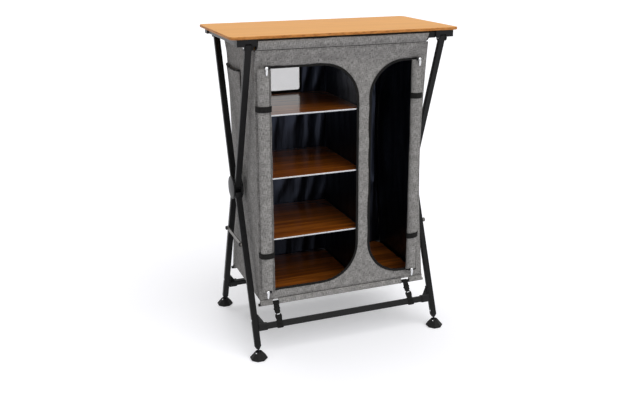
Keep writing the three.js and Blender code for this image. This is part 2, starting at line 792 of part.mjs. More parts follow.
// The inner face of a side panel at a depth and height, with a gap to it
function innerX(side, y, z) {
  const front = side < 0 ? cornerEdges.frontLeft : cornerEdges.frontRight;
  const rear = side < 0 ? cornerEdges.rearLeft : cornerEdges.rearRight;
  const share = (y + clothY(z)) / (2 * clothY(z));
  return edgeX(front, z) + (edgeX(rear, z) - edgeX(front, z)) * share
    - side * (fabricThickness + gap);
}

// How far back a level sheet reaches: up to the folds of the rear cloth, or to its flare,
// where the cloth's straight stretches lie a little inside the curve
const rearReach = (z) =>
  z < flareStartHeight ? bodyHalfDepth - liningWave - gap : clothY(z) - 2 * gap;

// A level sheet of cloth from the left side panel to a given X or to the right side panel
function levelCloth(topZ, frontY, rightX) {
  const z = topZ - fabricThickness;
  const y = [frontY, rearReach(z)];
  const right = (depth) => (rightX === undefined ? innerX(1, depth, z) : rightX);
  const outline = [
    [innerX(-1, y[0], z), y[0]],
    [right(y[0]), y[0]],
    [right(y[1]), y[1]],
    [innerX(-1, y[1], z), y[1]],
  ];
  return extruded("z", outline, z, topZ);
}

// The shelves divide the height between the floor cloth and the roof cloth into equal bays
const shelfTop = (i) =>
  floorFabricTop + ((sleeveSeamHeight - floorFabricTop) * (i + 1)) / (shelfNames.length + 1);

// Lining: the upright divider with the three slings that carry the shelves, sewn as one
function linerGeometry() {
  const y = [-bodyHalfDepth + gap, rearReach(hemHeight)];
  const divider = box([dividerX, dividerX + fabricThickness], y,
    [floorFabricTop + gap, sleeveSeamHeight - fabricThickness - gap]);
  const slings = shelfNames.map((_, i) =>
    levelCloth(shelfTop(i) - boardThickness - gap, boardFrontY, dividerX + fabricThickness / 2));
  return joined(divider, ...slings);
}

function addCabinet() {
  const { frontLeft, frontRight, rearLeft, rearRight } = cornerEdges;
  const front = cut(panelGeometry(-1, frontLeft, frontRight),
    ...Object.values(doors).map(openingTool), ...Object.values(straps).map(hemNotch));
  addPiece(wardrobe, "front_panel", front, melange);
  addPiece(wardrobe, "rear_panel", rearPanelGeometry(rearLeft, rearRight), melange);
  addPiece(wardrobe, "left_panel", sidePanelGeometry(-1, frontLeft, rearLeft), melange);
  addPiece(wardrobe, "right_panel", sidePanelGeometry(1, frontRight, rearRight), melange);
  addPiece(wardrobe, "inner_liner", linerGeometry(), lining);
  const floorFrontY = -bodyHalfDepth + gap;
  addPiece(wardrobe, "floor_panel", levelCloth(floorFabricTop, floorFrontY), lining);
  const roofFrontY = -rearReach(sleeveSeamHeight - fabricThickness);
  addPiece(wardrobe, "roof_panel", levelCloth(sleeveSeamHeight, roofFrontY), lining);
  for (const { name, side } of ends) {
    const rod = extruded("x", circleOutline(hemRodRadius, arcSteps * 2),
      edgeX(frontLeft, hemRodZ) - hemRodOverhang.left,
      edgeX(frontRight, hemRodZ) + hemRodOverhang.right);
    rod.translate(0, side * (bodyHalfDepth + fabricThickness / 2), hemRodZ);
    addPiece(wardrobe, `${name}_hem_rod`, rod, plastic);
  }
  addDoorRolls();
  addPiece(wardrobe, "side_pocket", pocketGeometry(), melange);
}

// Each door is rolled up over the upright edge of its opening and rests on the cloth there
function addDoorRolls() {
  for (const [name, { side, straightInset, rollOut, rollIn }] of Object.entries(doors)) {
    const half = (rollOut + rollIn) / 2;
    const centre = side * (halfWidth - straightInset + (rollOut - rollIn) / 2);
    const share = Math.max(0, rollIn - rollOut) / (rollIn + rollOut);
    const rest = (rollDepth / 2) * Math.sqrt(1 - share ** 2);
    const oval = circleOutline(1, arcSteps * 3).map(([a, b]) => [a * half, (b * rollDepth) / 2]);
    const roll = extruded("z", oval, openingBottom + rollBottomRoom, openingTop - rollTopRoom);
    roll.translate(centre, -bodyHalfDepth - fabricThickness - gap - rest, 0);
    addPiece(wardrobe, `${name}_door_roll`, roll, melange);
  }
}

// The pocket stands away from the side panel at its open top and is sewn down elsewhere
function pocketGeometry() {
  const pocketTop = overallHeight - pocketTopDrop;
  const pocketRearY = bodyHalfDepth - pocketRearRoom;
  return slab(pocketSteps, pocketSteps, (u, v) => {
    const y = pocketFrontY + (pocketRearY - pocketFrontY) * u;
    const z = pocketTop - pocketHeight * (1 - v);
    const panelX = innerX(-1, y, z) - fabricThickness - gap;
    const open = Math.sqrt(1 - (2 * u - 1) ** 4) * v ** 3;
    return [panelX - gap - pocketBulge * open, y, z];
  }, [-fabricThickness, 0, 0]);
}

function boardGeometry(left, right, top) {
  const outline = [
    [left, boardFrontY],
    [right, boardFrontY],
    ...roundCorner(right, boardRearY, 1),
    ...roundCorner(left, boardRearY, -1).reverse(),
  ];
  return extruded("z", outline, top - boardThickness, top);
}

function roundCorner(x, y, side) {
  return Array.from({ length: arcSteps + 1 }, (_, i) => {
    const angle = (i / arcSteps) * (Math.PI / 2);
    return [
      x - side * boardCornerRadius * (1 - Math.cos(angle)),
      y - boardCornerRadius * (1 - Math.sin(angle)),
    ];
  });
}

function addBoards() {
  const leftBayEnd = dividerX - boardDividerRoom;
  const rightBayStart = dividerX + fabricThickness + boardDividerRoom;
  shelfNames.forEach((name, i) => {
    const shelf = boardGeometry(shelfInset - halfWidth, leftBayEnd, shelfTop(i));
    addPiece(wardrobe, name, shelf, walnut);
  });
  const floorTop = floorFabricTop + gap + boardThickness;
  const leftBoard = boardGeometry(leftFloorBoardInset - halfWidth, leftBayEnd, floorTop);
  const rightBoard = boardGeometry(rightBayStart, halfWidth - rightFloorBoardInset, floorTop);
  addPiece(wardrobe, "left_floor_board", leftBoard, walnut);
  addPiece(wardrobe, "right_floor_board", rightBoard, walnut);
}

// Buckle straps, drawn in the front leg frame's own frame: the upper half loops round the
// hem rod, the lower half round the bar, and they part on a plane square to the fold's radius
function addBuckleStraps(frame) {
  frame.updateMatrixWorld(true);
  const rodPoint = new THREE.Vector3(0, -bodyHalfDepth - fabricThickness / 2, hemRodZ);
  const rod = frame.worldToLocal(rodPoint);
  const partZ = -barDistance + strapPartAboveBar;
  const barFace = -tubeDepth / 2 - gap;
  const halves = [-1, 1].map((side) => side * strapWidth / 2);
  const buckle = (from, to, y) =>
    box(centred(buckleWidth), [y - buckleThickness / 2, y + buckleThickness / 2], [from, to]);
  const loopRadius = hemRodRadius + gap;
  const ringAt = (radius) => circleOutline(radius, arcSteps * 2, [rod.y, rod.z]);
  const upperLoop = hollow("x", ringAt(loopRadius + strapThickness), [ringAt(loopRadius)],
    ...halves);
  const upperWeb = [
    [rod.y - loopRadius - strapThickness, rod.z],
    [rod.y - loopRadius, rod.z],
    [barFace, partZ + buckleHalfLength / 2],
    [barFace - strapThickness, partZ + buckleHalfLength / 2],
  ];
  const ringOutline = (clearance) => [
    [-tubeDepth / 2 - clearance, -barDistance - tubeWidth / 2 - clearance],
    [tubeDepth / 2 + clearance, -barDistance - tubeWidth / 2 - clearance],
    [tubeDepth / 2 + clearance, -barDistance + tubeWidth / 2 + clearance],
    [-tubeDepth / 2 - clearance, -barDistance + tubeWidth / 2 + clearance],
  ];
  const lowerLoop = hollow("x", ringOutline(gap + strapThickness), [ringOutline(gap)],
    ...halves);
  const lowerWeb = box(centred(strapWidth), [barFace - strapThickness, barFace],
    [-barDistance + tubeWidth / 2, partZ - buckleHalfLength / 2]);
  const buckleY = barFace - strapThickness / 2;
  const upper = joined(upperLoop, extruded("x", upperWeb, ...halves),
    buckle(partZ + gap, partZ + buckleHalfLength, buckleY));
  const lower = joined(lowerLoop, lowerWeb,
    buckle(partZ - buckleHalfLength, partZ - gap, buckleY));
  for (const [name, { side, rodInset, barInset }] of Object.entries(straps)) {
    const rodX = side * (halfWidth - rodInset);
    const barX = side * (halfWidth - barInset);
    const slant = (rodX - barX) / (rod.z + barDistance);
    const slanted = (geometry) => geometry.clone()
      .translate(0, 0, barDistance)
      .applyMatrix4(new THREE.Matrix4().makeShear(0, 0, 0, 0, slant, 0))
      .translate(barX, 0, -barDistance);
    addPiece(frame, `${name}_upper_strap`, slanted(upper), webbing);
    addPiece(frame, `${name}_lower_strap`, slanted(lower), webbing);
  }
}

addPiece(wardrobe, "tabletop", tabletopGeometry(), bamboo);
addTopFrame();
addUpperLegs();
addHubs();
const [frontFrame] = ends.map(addLowerLegFrame);
addStays();
addCabinet();
addBoards();
addBuckleStraps(frontFrame);

export default wardrobe;
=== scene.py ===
"""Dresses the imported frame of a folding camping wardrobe.

The frame gives every place. This file gives the looks: fluted tubes, moulded joints, sewn
cloth with its folds, zips and bindings, rolled doors, straps, boards, and a plain studio.
All lengths are in metres, with +Z up and the doors facing -Y.
"""

from __future__ import annotations

import json
import logging
import math
from collections.abc import Iterator, Sequence
from dataclasses import dataclass
from enum import Enum
from functools import cached_property
from typing import ClassVar

import bmesh
import bpy
import numpy as np
from mathutils import Matrix, Vector
from mathutils.geometry import delaunay_2d_cdt

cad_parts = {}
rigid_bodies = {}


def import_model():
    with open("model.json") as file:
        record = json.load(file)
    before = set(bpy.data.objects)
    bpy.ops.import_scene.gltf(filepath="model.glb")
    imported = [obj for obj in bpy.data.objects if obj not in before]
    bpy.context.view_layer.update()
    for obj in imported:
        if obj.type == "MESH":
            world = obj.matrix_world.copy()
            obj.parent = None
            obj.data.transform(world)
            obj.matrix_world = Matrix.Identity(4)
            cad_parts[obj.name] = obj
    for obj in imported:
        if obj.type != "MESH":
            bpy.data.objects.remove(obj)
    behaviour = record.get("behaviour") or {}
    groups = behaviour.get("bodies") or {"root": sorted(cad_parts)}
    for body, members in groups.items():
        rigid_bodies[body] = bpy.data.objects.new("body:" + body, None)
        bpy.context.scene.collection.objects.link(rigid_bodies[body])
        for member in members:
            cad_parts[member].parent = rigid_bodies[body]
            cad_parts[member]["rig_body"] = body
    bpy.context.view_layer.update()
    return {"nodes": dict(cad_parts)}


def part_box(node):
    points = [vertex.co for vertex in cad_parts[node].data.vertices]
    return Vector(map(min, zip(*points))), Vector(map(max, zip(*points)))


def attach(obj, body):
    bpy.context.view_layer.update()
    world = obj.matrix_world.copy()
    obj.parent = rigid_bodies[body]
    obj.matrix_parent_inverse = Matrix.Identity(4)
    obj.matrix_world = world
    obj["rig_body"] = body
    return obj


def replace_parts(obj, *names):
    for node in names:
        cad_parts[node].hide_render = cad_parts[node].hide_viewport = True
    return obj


LOG = logging.getLogger("wardrobe")
FRAME = "frame"
# The mix node's colour sockets go by number, because its other kinds share their names
MIX_FACTOR, MIX_A, MIX_B, MIX_RESULT = 0, 6, 7, 2
# Points that are closer than this are one; its square keeps a divisor from zero
WELD = 1e-5
TINY = WELD * WELD
# The directions of X, Y and Z
ACROSS, BACK, UP = np.eye(3)
# How far from its ends a span is cut, as a share, when a path's corners are rounded
CUT_SHARE = 0.25
SMOOTH_ANGLE = math.radians(40)
THREAD_ANGLE = math.radians(60)
EDGE_ANGLE = math.radians(28)
FLAT_ANGLE = math.radians(1)

Array = np.ndarray
Colour = tuple[float, float, float, float]
Span = tuple[float, float]
Triple = tuple[float, float, float]
Row = tuple[float, ...]
Shape = tuple[Array, list[Array]]
Socket = bpy.types.NodeSocket
Tree = bpy.types.NodeTree
Piece = bpy.types.Object


class Direction(Enum):
    """A side of the wardrobe: its value is its sign along an axis."""

    @property
    def word(self) -> str:
        """Return the word that names use for it."""
        return self.name.lower()


class Side(Direction):
    """The two ends of the wardrobe along X."""

    LEFT = -1
    RIGHT = 1


class End(Direction):
    """The two faces of the wardrobe along Y."""

    FRONT = -1
    REAR = 1


LEG_BODY = {End.FRONT: "front_legs", End.REAR: "rear_legs"}


def corners() -> Iterator[tuple[End, Side, str]]:
    """Yield the four corners with the words that their nodes' names start with."""
    for end in End:
        for side in Side:
            yield end, side, f"{end.word}_{side.word}"


# Colours and shader nodes


def linear(code: str) -> Colour:
    """Turn an sRGB colour, as "#RRGGBB", into the linear colour that a socket takes."""
    values = [int(code[i : i + 2], 16) / 255 for i in (1, 3, 5)]
    red, green, blue = (
        v / 12.92 if v <= 0.04045 else ((v + 0.055) / 1.055) ** 2.4 for v in values
    )
    return (red, green, blue, 1.0)


def add_node(
    tree: Tree, kind: str, inputs: dict | None = None, **settings: object
) -> bpy.types.Node:
    """Add one node with its settings. Each input gets a value, or a link from a socket."""
    node = tree.nodes.new(kind)
    for name, value in settings.items():
        setattr(node, name, value)
    for name, value in (inputs or {}).items():
        if isinstance(value, Socket):
            tree.links.new(value, node.inputs[name])
        else:
            node.inputs[name].default_value = value
    return node


def fresh_tree(owner: bpy.types.Material | bpy.types.World) -> Tree:
    """Switch on an owner's nodes and clear them."""
    owner.use_nodes = True
    owner.node_tree.nodes.clear()
    return owner.node_tree


def maths(tree: Tree, operation: str, first: Socket, second: Socket | float) -> Socket:
    """Put two values through one operation."""
    node = add_node(tree, "ShaderNodeMath", {0: first, 1: second}, operation=operation)
    return node.outputs["Value"]


def blended(
    tree: Tree,
    factor: Socket,
    low: Colour | Socket,
    high: Colour | Socket,
    span: Span = (0.35, 0.65),
) -> Socket:
    """Blend two colours by a value that is stretched from a span to the whole range."""
    ends = {"Value": factor, "From Min": span[0], "From Max": span[1]}
    ranged = add_node(tree, "ShaderNodeMapRange", ends).outputs["Result"]
    colours = {MIX_FACTOR: ranged, MIX_A: low, MIX_B: high}
    return add_node(tree, "ShaderNodeMix", colours, data_type="RGBA").outputs[MIX_RESULT]


class Finish:
    """A named surface: it builds its material once and hands it out again."""

    source: ClassVar[str] = "Object"
    made: ClassVar[dict[Finish, bpy.types.Material]] = {}
    slot: str
    roughness: float
    relief: float
    relief_share: float

    def material(self) -> bpy.types.Material:
        """Return the finish's material, built on the first call."""
        if self not in Finish.made:
            material = bpy.data.materials.new(type(self).__name__)
            tree = fresh_tree(material)
            add_node(tree, "ShaderNodeOutputMaterial", {"Surface": self.shader(tree)})
            Finish.made[self] = material
        return Finish.made[self]

    def shader(self, tree: Tree) -> Socket:
        """Build the finish's nodes and return the socket for the material's surface."""
        raise NotImplementedError

    def noise(self, tree: Tree, sizes: Triple, detail: float = 2.0) -> Socket:
        """Return a noise around a half, with a real size along each axis, in metres."""
        where = add_node(tree, "ShaderNodeTexCoord").outputs[self.source]
        scale = {"Vector": where, "Scale": tuple(1 / size for size in sizes)}
        place = add_node(tree, "ShaderNodeMapping", scale).outputs["Vector"]
        values = {"Vector": place, "Scale": 1.0, "Detail": detail}
        return add_node(tree, "ShaderNodeTexNoise", values).outputs["Fac"]

    def surface(
        self, tree: Tree, colour: Socket, values: dict, height: Socket | None = None
    ) -> Socket:
        """Add the surface node, with a height as relief where the finish has one."""
        inputs = {"Base Color": colour, "Roughness": self.roughness, **values}
        if height is not None:
            relief = {"Height": height, "Distance": self.relief, "Strength": self.relief_share}
            inputs["Normal"] = add_node(tree, "ShaderNodeBump", relief).outputs["Normal"]
        return add_node(tree, "ShaderNodeBsdfPrincipled", inputs).outputs["BSDF"]


@dataclass(frozen=True)
class MelangeCanvas(Finish):
    """Heathered polyester canvas: woven from light and dark yarn, so it is mottled grey."""

    source: ClassVar[str] = "UV"
    slot: str = "melange_fabric"
    light: str = "#A5A3A0"
    dark: str = "#62605E"
    shade: str = "#898785"
    # A real slub is under a millimetre thick: it is drawn coarser so that it shows
    yarn: float = 0.0020
    slub: float = 0.015
    mottle: float = 0.030
    mottle_span: Span = (0.3, 0.7)
    weave_span: Span = (0.72, 1.12)
    roughness: float = 0.92
    gloss: float = 0.2
    relief: float = 0.0006
    relief_share: float = 0.6

    def shader(self, tree: Tree) -> Socket:
        """Mix warp and weft slubs over a slow mottle, with the yarn as relief."""
        warp = self.noise(tree, (self.yarn, self.slub, self.slub), detail=1.0)
        weft = self.noise(tree, (self.slub, self.yarn, self.slub), detail=1.0)
        crossed = maths(tree, "ADD", warp, weft)
        slow = self.noise(tree, (self.mottle, self.mottle, self.mottle))
        base = blended(tree, slow, linear(self.shade), linear(self.light), self.mottle_span)
        colour = blended(tree, crossed, linear(self.dark), base, self.weave_span)
        return self.surface(tree, colour, {"Specular IOR Level": self.gloss}, crossed)


@dataclass(frozen=True)
class CoatedLining(Finish):
    """Coated taffeta lining: navy black, with a soft shine on its folds."""

    source: ClassVar[str] = "UV"
    slot: str = "lining_fabric"
    # deep is the lining's own colour; lit is a paler copy painted on the raised crinkles as
    # highlight
    deep: str = "#020203"
    lit: str = "#07080C"
    tint: str = "#AEB9D8"
    crinkle: float = 0.038
    fall: float = 0.24
    roughness: float = 0.33
    gloss: float = 0.9
    relief: float = 0.009
    relief_share: float = 0.5

    def shader(self, tree: Tree) -> Socket:
        """Crinkle the surface along its fall, and give the raised crinkles the paler lit blue: a
        painted highlight.
        """
        folds = self.noise(tree, (self.crinkle, self.fall, self.crinkle))
        colour = blended(tree, folds, linear(self.deep), linear(self.lit))
        shine = {"Specular IOR Level": self.gloss, "Specular Tint": linear(self.tint)}
        return self.surface(tree, colour, shine, folds)


@dataclass(frozen=True)
class Webbing(Finish):
    """Woven polypropylene tape: black, matt, with fine cross ribs."""

    source: ClassVar[str] = "UV"
    slot: str = "webbing"
    dark: str = "#090908"
    light: str = "#1C1B1A"
    rib: float = 0.0024
    length: float = 0.02
    roughness: float = 0.85
    gloss: float = 0.2
    relief: float = 0.0004
    relief_share: float = 0.7

    def shader(self, tree: Tree) -> Socket:
        """Run short ribs across the tape."""
        ribs = self.noise(tree, (self.length, self.rib, self.rib))
        colour = blended(tree, ribs, linear(self.dark), linear(self.light))
        return self.surface(tree, colour, {"Specular IOR Level": self.gloss}, ribs)


@dataclass(frozen=True)
class BambooTop(Finish):
    """Laminated bamboo with a satin lacquer: pale strips with long fibres."""

    slot: str = "bamboo"
    pale: str = "#DD9D4A"
    deep: str = "#CC8D3C"
    strip_pale: str = "#D69644"
    fibre: Triple = (0.22, 0.0026, 0.0026)
    fibre_span: Span = (0.2, 0.55)
    strip: Triple = (0.9, 0.021, 0.021)
    roughness: float = 0.5
    gloss: float = 0.25

    def shader(self, tree: Tree) -> Socket:
        """Lay fibres over strips of slightly different tone."""
        fibre = self.noise(tree, self.fibre, detail=4.0)
        strips = self.noise(tree, self.strip, detail=0.0)
        tone = blended(tree, strips, linear(self.strip_pale), linear(self.pale))
        colour = blended(tree, fibre, linear(self.deep), tone, self.fibre_span)
        return self.surface(tree, colour, {"Specular IOR Level": self.gloss})


@dataclass(frozen=True)
class BambooEdge(BambooTop):
    """The sawn edge of laminated bamboo: darker, with the plies as thin level lines."""

    pale: str = "#CC8A48"
    deep: str = "#7E4A1E"
    strip_pale: str = "#B87536"
    fibre: Triple = (0.014, 0.014, 0.0030)
    strip: Triple = (0.06, 0.06, 0.0035)
    roughness: float = 0.55


@dataclass(frozen=True)
class WalnutLaminate(Finish):
    """Walnut laminate with a gloss coat: dark red-brown with long orange streaks."""

    slot: str = "walnut"
    dark: str = "#47210A"
    mid: str = "#83420D"
    light: str = "#C87423"
    streak: Triple = (0.55, 0.017, 0.017)
    streak_span: Span = (0.4, 0.75)
    pore: Triple = (0.22, 0.0060, 0.0060)
    pore_span: Span = (0.25, 0.5)
    roughness: float = 0.3
    coat: float = 0.7
    coat_roughness: float = 0.10

    def shader(self, tree: Tree) -> Socket:
        """Lay fine pores over broad streaks, along X."""
        streak = self.noise(tree, self.streak, detail=4.0)
        pore = self.noise(tree, self.pore, detail=3.0)
        broad = blended(tree, streak, linear(self.mid), linear(self.light), self.streak_span)
        colour = blended(tree, pore, linear(self.dark), broad, self.pore_span)
        coat = {"Coat Weight": self.coat, "Coat Roughness": self.coat_roughness}
        return self.surface(tree, colour, coat)


@dataclass(frozen=True)
class PlainMould(Finish):
    """A moulded or drawn material of one colour with a fine grain and a worn tone."""

    slot: str = "plastic"
    dark: str = "#070708"
    light: str = "#101012"
    grain: Triple = (0.004, 0.004, 0.004)
    roughness: float = 0.42
    gloss: float = 0.18
    sheen: float = 0.08
    metallic: float = 0.0
    relief: float = 0.0002
    relief_share: float = 0.4

    def shader(self, tree: Tree) -> Socket:
        """Vary the tone and the relief with one grain."""
        grain = self.noise(tree, self.grain, detail=4.0)
        colour = blended(tree, grain, linear(self.dark), linear(self.light))
        shine = {
            "Specular IOR Level": self.gloss,
            "Sheen Weight": self.sheen,
            "Metallic": self.metallic,
        }
        return self.surface(tree, colour, shine, grain)


@dataclass(frozen=True)
class MeshCloth(Finish):
    """Fine polyester mesh: pale threads with open holes, so light comes through."""

    source: ClassVar[str] = "UV"
    slot: str = "melange_fabric"
    pale: str = "#E6E4DF"
    dark: str = "#C2C0BA"
    cell: float = 0.006
    openness: float = 0.70
    roughness: float = 0.8

    def shader(self, tree: Tree) -> Socket:
        """Let a part of the light straight through pale, knotted threads."""
        knots = self.noise(tree, (self.cell, self.cell, self.cell))
        colour = blended(tree, knots, linear(self.dark), linear(self.pale))
        return self.surface(tree, colour, {"Alpha": 1 - self.openness})


CANVAS = MelangeCanvas()
# Spun polyester thread: matt, darker than the canvas that it closes. In the pressed seams' grooves
# it is partly painted shade, and along the top of the pocket's front edge it is painted shadow
THREAD_AND_PAINTED_SHADE = MelangeCanvas(light="#62605E", dark="#333231", shade="#454442")
LINING = CoatedLining()
# A thin, paler cord where the lining meets each shelf
LINING_EDGE = CoatedLining(deep="#2A2B30", lit="#4A4C54", gloss=0.5)
# Black tape: the real webbing, zip tape and bands, and also the painted shadow at the rail
# sleeve's open ends
TAPE_AND_PAINTED_SHADOW = Webbing()
# Moulded ABS: deep black with a light grain
ABS = PlainMould()
# Anodised aluminium: drawn lengthwise, dark grey, with a soft metal shine
ANODISED = PlainMould("tube", "#070707", "#0E0E0F", roughness=0.32, gloss=0.16, relief=0.0001)
# Blackened steel: the threaded studs
BLACK_STEEL = PlainMould(
    "steel", "#1B1B1C", "#303033", roughness=0.38, gloss=0.5, sheen=0.0, metallic=1.0
)
# Bare aluminium strip: brushed, grey, a little warm
BARE_STRIP = PlainMould(
    "tube", "#5E5B57", "#77746F", roughness=0.42, gloss=0.5, sheen=0.0, metallic=1.0
)
# Natural rubber: dusty black, matt
RUBBER = PlainMould("rubber", "#0E0E0D", "#1A1918", roughness=0.7, sheen=0.1)
# Bright nickel: the zip sliders and the rivets, and the painted highlights on the buckles and the
# feet
NICKEL_AND_PAINTED_HIGHLIGHT = PlainMould(
    "steel", "#C9CACC", "#E6E7E8", roughness=0.22, sheen=0.0, metallic=1.0, relief=0.0001
)
# A pale, near-white strip on the shelves' front edge
EDGING = PlainMould(
    "walnut", "#C4C6C9", "#DDDFE2", roughness=0.35, sheen=0.0, metallic=0.3, relief=0.0001
)


# Points, paths and outlines


def columns(*parts: Array | float) -> Array:
    """Return points whose coordinates are the parts, one row each."""
    return np.stack(np.broadcast_arrays(*parts), axis=-1).reshape(-1, len(parts))


def lattice(rows: int, count: int) -> list[Array]:
    """Return the share up and the share along of each point of a grid."""
    return np.meshgrid(np.linspace(0, 1, rows), np.linspace(0, 1, count), indexing="ij")


def grid_faces(rows: int, count: int, wrap: bool = False) -> Array:
    """Return the quads between neighbours of a grid, whose rows may close on themselves."""
    row, column = np.meshgrid(
        np.arange(rows - 1), np.arange(count if wrap else count - 1), indexing="ij"
    )
    beside = (column + 1) % count
    quads = [row * count + column, row * count + beside]
    quads += [(row + 1) * count + beside, (row + 1) * count + column]
    return np.stack(quads, axis=-1).reshape(-1, 4)


def unit(vectors: Array) -> Array:
    """Return vectors of length one, row by row."""
    length = np.linalg.norm(vectors, axis=-1, keepdims=True)
    return vectors / np.maximum(length, TINY)


def bell(distance: Array, width: float) -> Array:
    """Return a bell curve: one at distance zero, fading over a width."""
    return np.exp(-((distance / width) ** 2))


def signed_power(value: Array, power: float) -> Array:
    """Raise the size of a value to a power and keep its sign."""
    return np.sign(value) * abs(value) ** power


def along(path: Array) -> Array:
    """Return the distance from the path's start to each of its points."""
    steps = np.linalg.norm(np.diff(path, axis=0), axis=1)
    return np.concatenate([[0.0], np.cumsum(steps)])


def at_distance(path: Array, distance: Array) -> Array:
    """Return the points that lie at given distances along a path."""
    length = along(path)
    return np.stack([np.interp(distance, length, part) for part in path.T], axis=1)


def respaced(path: Array, step: float) -> Array:
    """Return the path again, with its points about a step apart."""
    length = along(path)[-1]
    count = max(2, math.ceil(length / step) + 1)
    return at_distance(path, np.linspace(0.0, length, count))


def closed_ring(ring: Array, step: float) -> Array:
    """Return a closed outline again, with its points about a step apart."""
    return respaced(np.vstack([ring, ring[:1]]), step)[:-1]


def rounded(path: Array, rounds: int) -> Array:
    """Cut the corners of an open path: each round puts two points into every span."""
    for _ in range(rounds):
        start, stop = path[:-1], path[1:]
        near = (1 - CUT_SHARE) * start + CUT_SHARE * stop
        far = CUT_SHARE * start + (1 - CUT_SHARE) * stop
        cut = np.stack([near, far], axis=1).reshape(-1, path.shape[1])
        path = np.concatenate([path[:1], cut, path[-1:]])
    return path


def rounded_box(wide: float, high: float, corner: float, count: int) -> Array:
    """Return a rectangle about zero, with a quarter circle at each corner."""
    angle = np.linspace(0, np.pi / 2, count)
    arc = corner * columns(np.cos(angle), np.sin(angle))
    quarter = arc + [wide / 2 - corner, high / 2 - corner]
    blocks = [quarter * [a, b] for a, b in ((1, 1), (-1, 1), (-1, -1), (1, -1))]
    return np.concatenate([blocks[0], blocks[1][::-1], blocks[2], blocks[3][::-1]])


def half_circle(radius: float, count: int) -> Array:
    """Return the profile of a ball, from its lowest to its highest point."""
    angle = np.linspace(0, np.pi, count)
    return radius * columns(np.sin(angle), -np.cos(angle))


@dataclass(frozen=True)
class Profile:
    """A closed superellipse: its coordinates as shares of half its size, each raised to
    the power, add to one.
    """

    wide: float
    deep: float
    count: int = 24
    power: float = 2.0

    def outline(self) -> Array:
        """Return the outline's points."""
        angle = np.arange(self.count) / self.count * 2 * np.pi
        share = 2 / self.power
        return columns(
            self.wide / 2 * signed_power(np.cos(angle), share),
            self.deep / 2 * signed_power(np.sin(angle), share),
        )


def carried(
    profile: Array,
    path: Array,
    side: Array,
    closed: bool = False,
    scale: Sequence[float] | None = None,
) -> tuple[Array, list[Array], Array]:
    """Carry a closed profile along a path, which may close on itself.

    A point is path + a * side + b * (tangent x side), for a profile point (a, b), with side
    made square to the tangent first. The side is one direction, or one for each point, and
    the scale is the profile's size at each point.

    Returns:
        The points, the faces and the cloth coordinates.
    """
    if closed:
        tangent = unit(np.roll(path, -1, axis=0) - np.roll(path, 1, axis=0))
    else:
        tangent = unit(np.gradient(path, axis=0))
    side = np.broadcast_to(side, path.shape)
    square = unit(side - (side * tangent).sum(1, keepdims=True) * tangent)
    third = np.cross(tangent, square)
    size = np.ones(len(path)) if scale is None else np.asarray(scale)
    a, b = (profile[None, :, k, None] * size[:, None, None] for k in (0, 1))
    points = path[:, None] + a * square[:, None] + b * third[:, None]
    count = len(profile)
    last = (len(path) - 1) * count
    around = np.arange(count)
    blocks = [grid_faces(len(path), count, wrap=True)]
    if closed:
        beside = (around + 1) % count
        blocks.append(np.stack([last + around, last + beside, beside, around], axis=1))
    else:
        blocks += [around[None, ::-1], around[None] + last]
    return points.reshape(-1, 3), blocks, columns(along(profile), along(path)[:, None])


def turned(profile: Array, centre: Sequence[float], axis: int, count: int) -> Shape:
    """Turn a profile of (radius, height) about an axis through a centre, in some steps.

    The profile runs from one end of the axis to the other, with radius zero at both.
    """
    angle = np.arange(count) / count * 2 * np.pi
    first, second = [k for k in range(3) if k != axis]
    points = np.zeros((len(profile), count, 3))
    points[..., first] = centre[first] + profile[:, 0, None] * np.cos(angle)
    points[..., second] = centre[second] + profile[:, 0, None] * np.sin(angle)
    points[..., axis] = centre[axis] + profile[:, 1, None]
    return points.reshape(-1, 3), [grid_faces(len(profile), count, wrap=True)]


def stacked(shapes: Sequence[Shape]) -> Shape:
    """Put several shapes' points and faces together."""
    points, blocks, base = [], [], 0
    for shape_points, shape_faces in shapes:
        points.append(shape_points)
        blocks += [np.asarray(block) + base for block in shape_faces]
        base += len(shape_points)
    return np.concatenate(points), blocks


def inside(points: Array, outline: Array) -> Array:
    """Say which points lie inside a closed outline, by counting the edges that each passes."""
    result = np.zeros(len(points), bool)
    for (x0, y0), (x1, y1) in zip(outline, np.roll(outline, -1, axis=0)):
        if y0 == y1:
            continue
        crosses = (y0 > points[:, 1]) != (y1 > points[:, 1])
        at = x0 + (points[:, 1] - y0) * (x1 - x0) / (y1 - y0)
        result ^= crosses & (points[:, 0] < at)
    return result


def clear_of(points: Array, outline: Array, distance: float) -> Array:
    """Say which points lie further than a distance from a closed outline."""
    far = np.ones(len(points), bool)
    for start, stop in zip(outline, np.roll(outline, -1, axis=0)):
        edge = stop - start
        share = ((points - start) @ edge) / max(edge @ edge, TINY)
        nearest = start + np.clip(share, 0, 1)[:, None] * edge
        far &= np.linalg.norm(points - nearest, axis=1) > distance
    return far


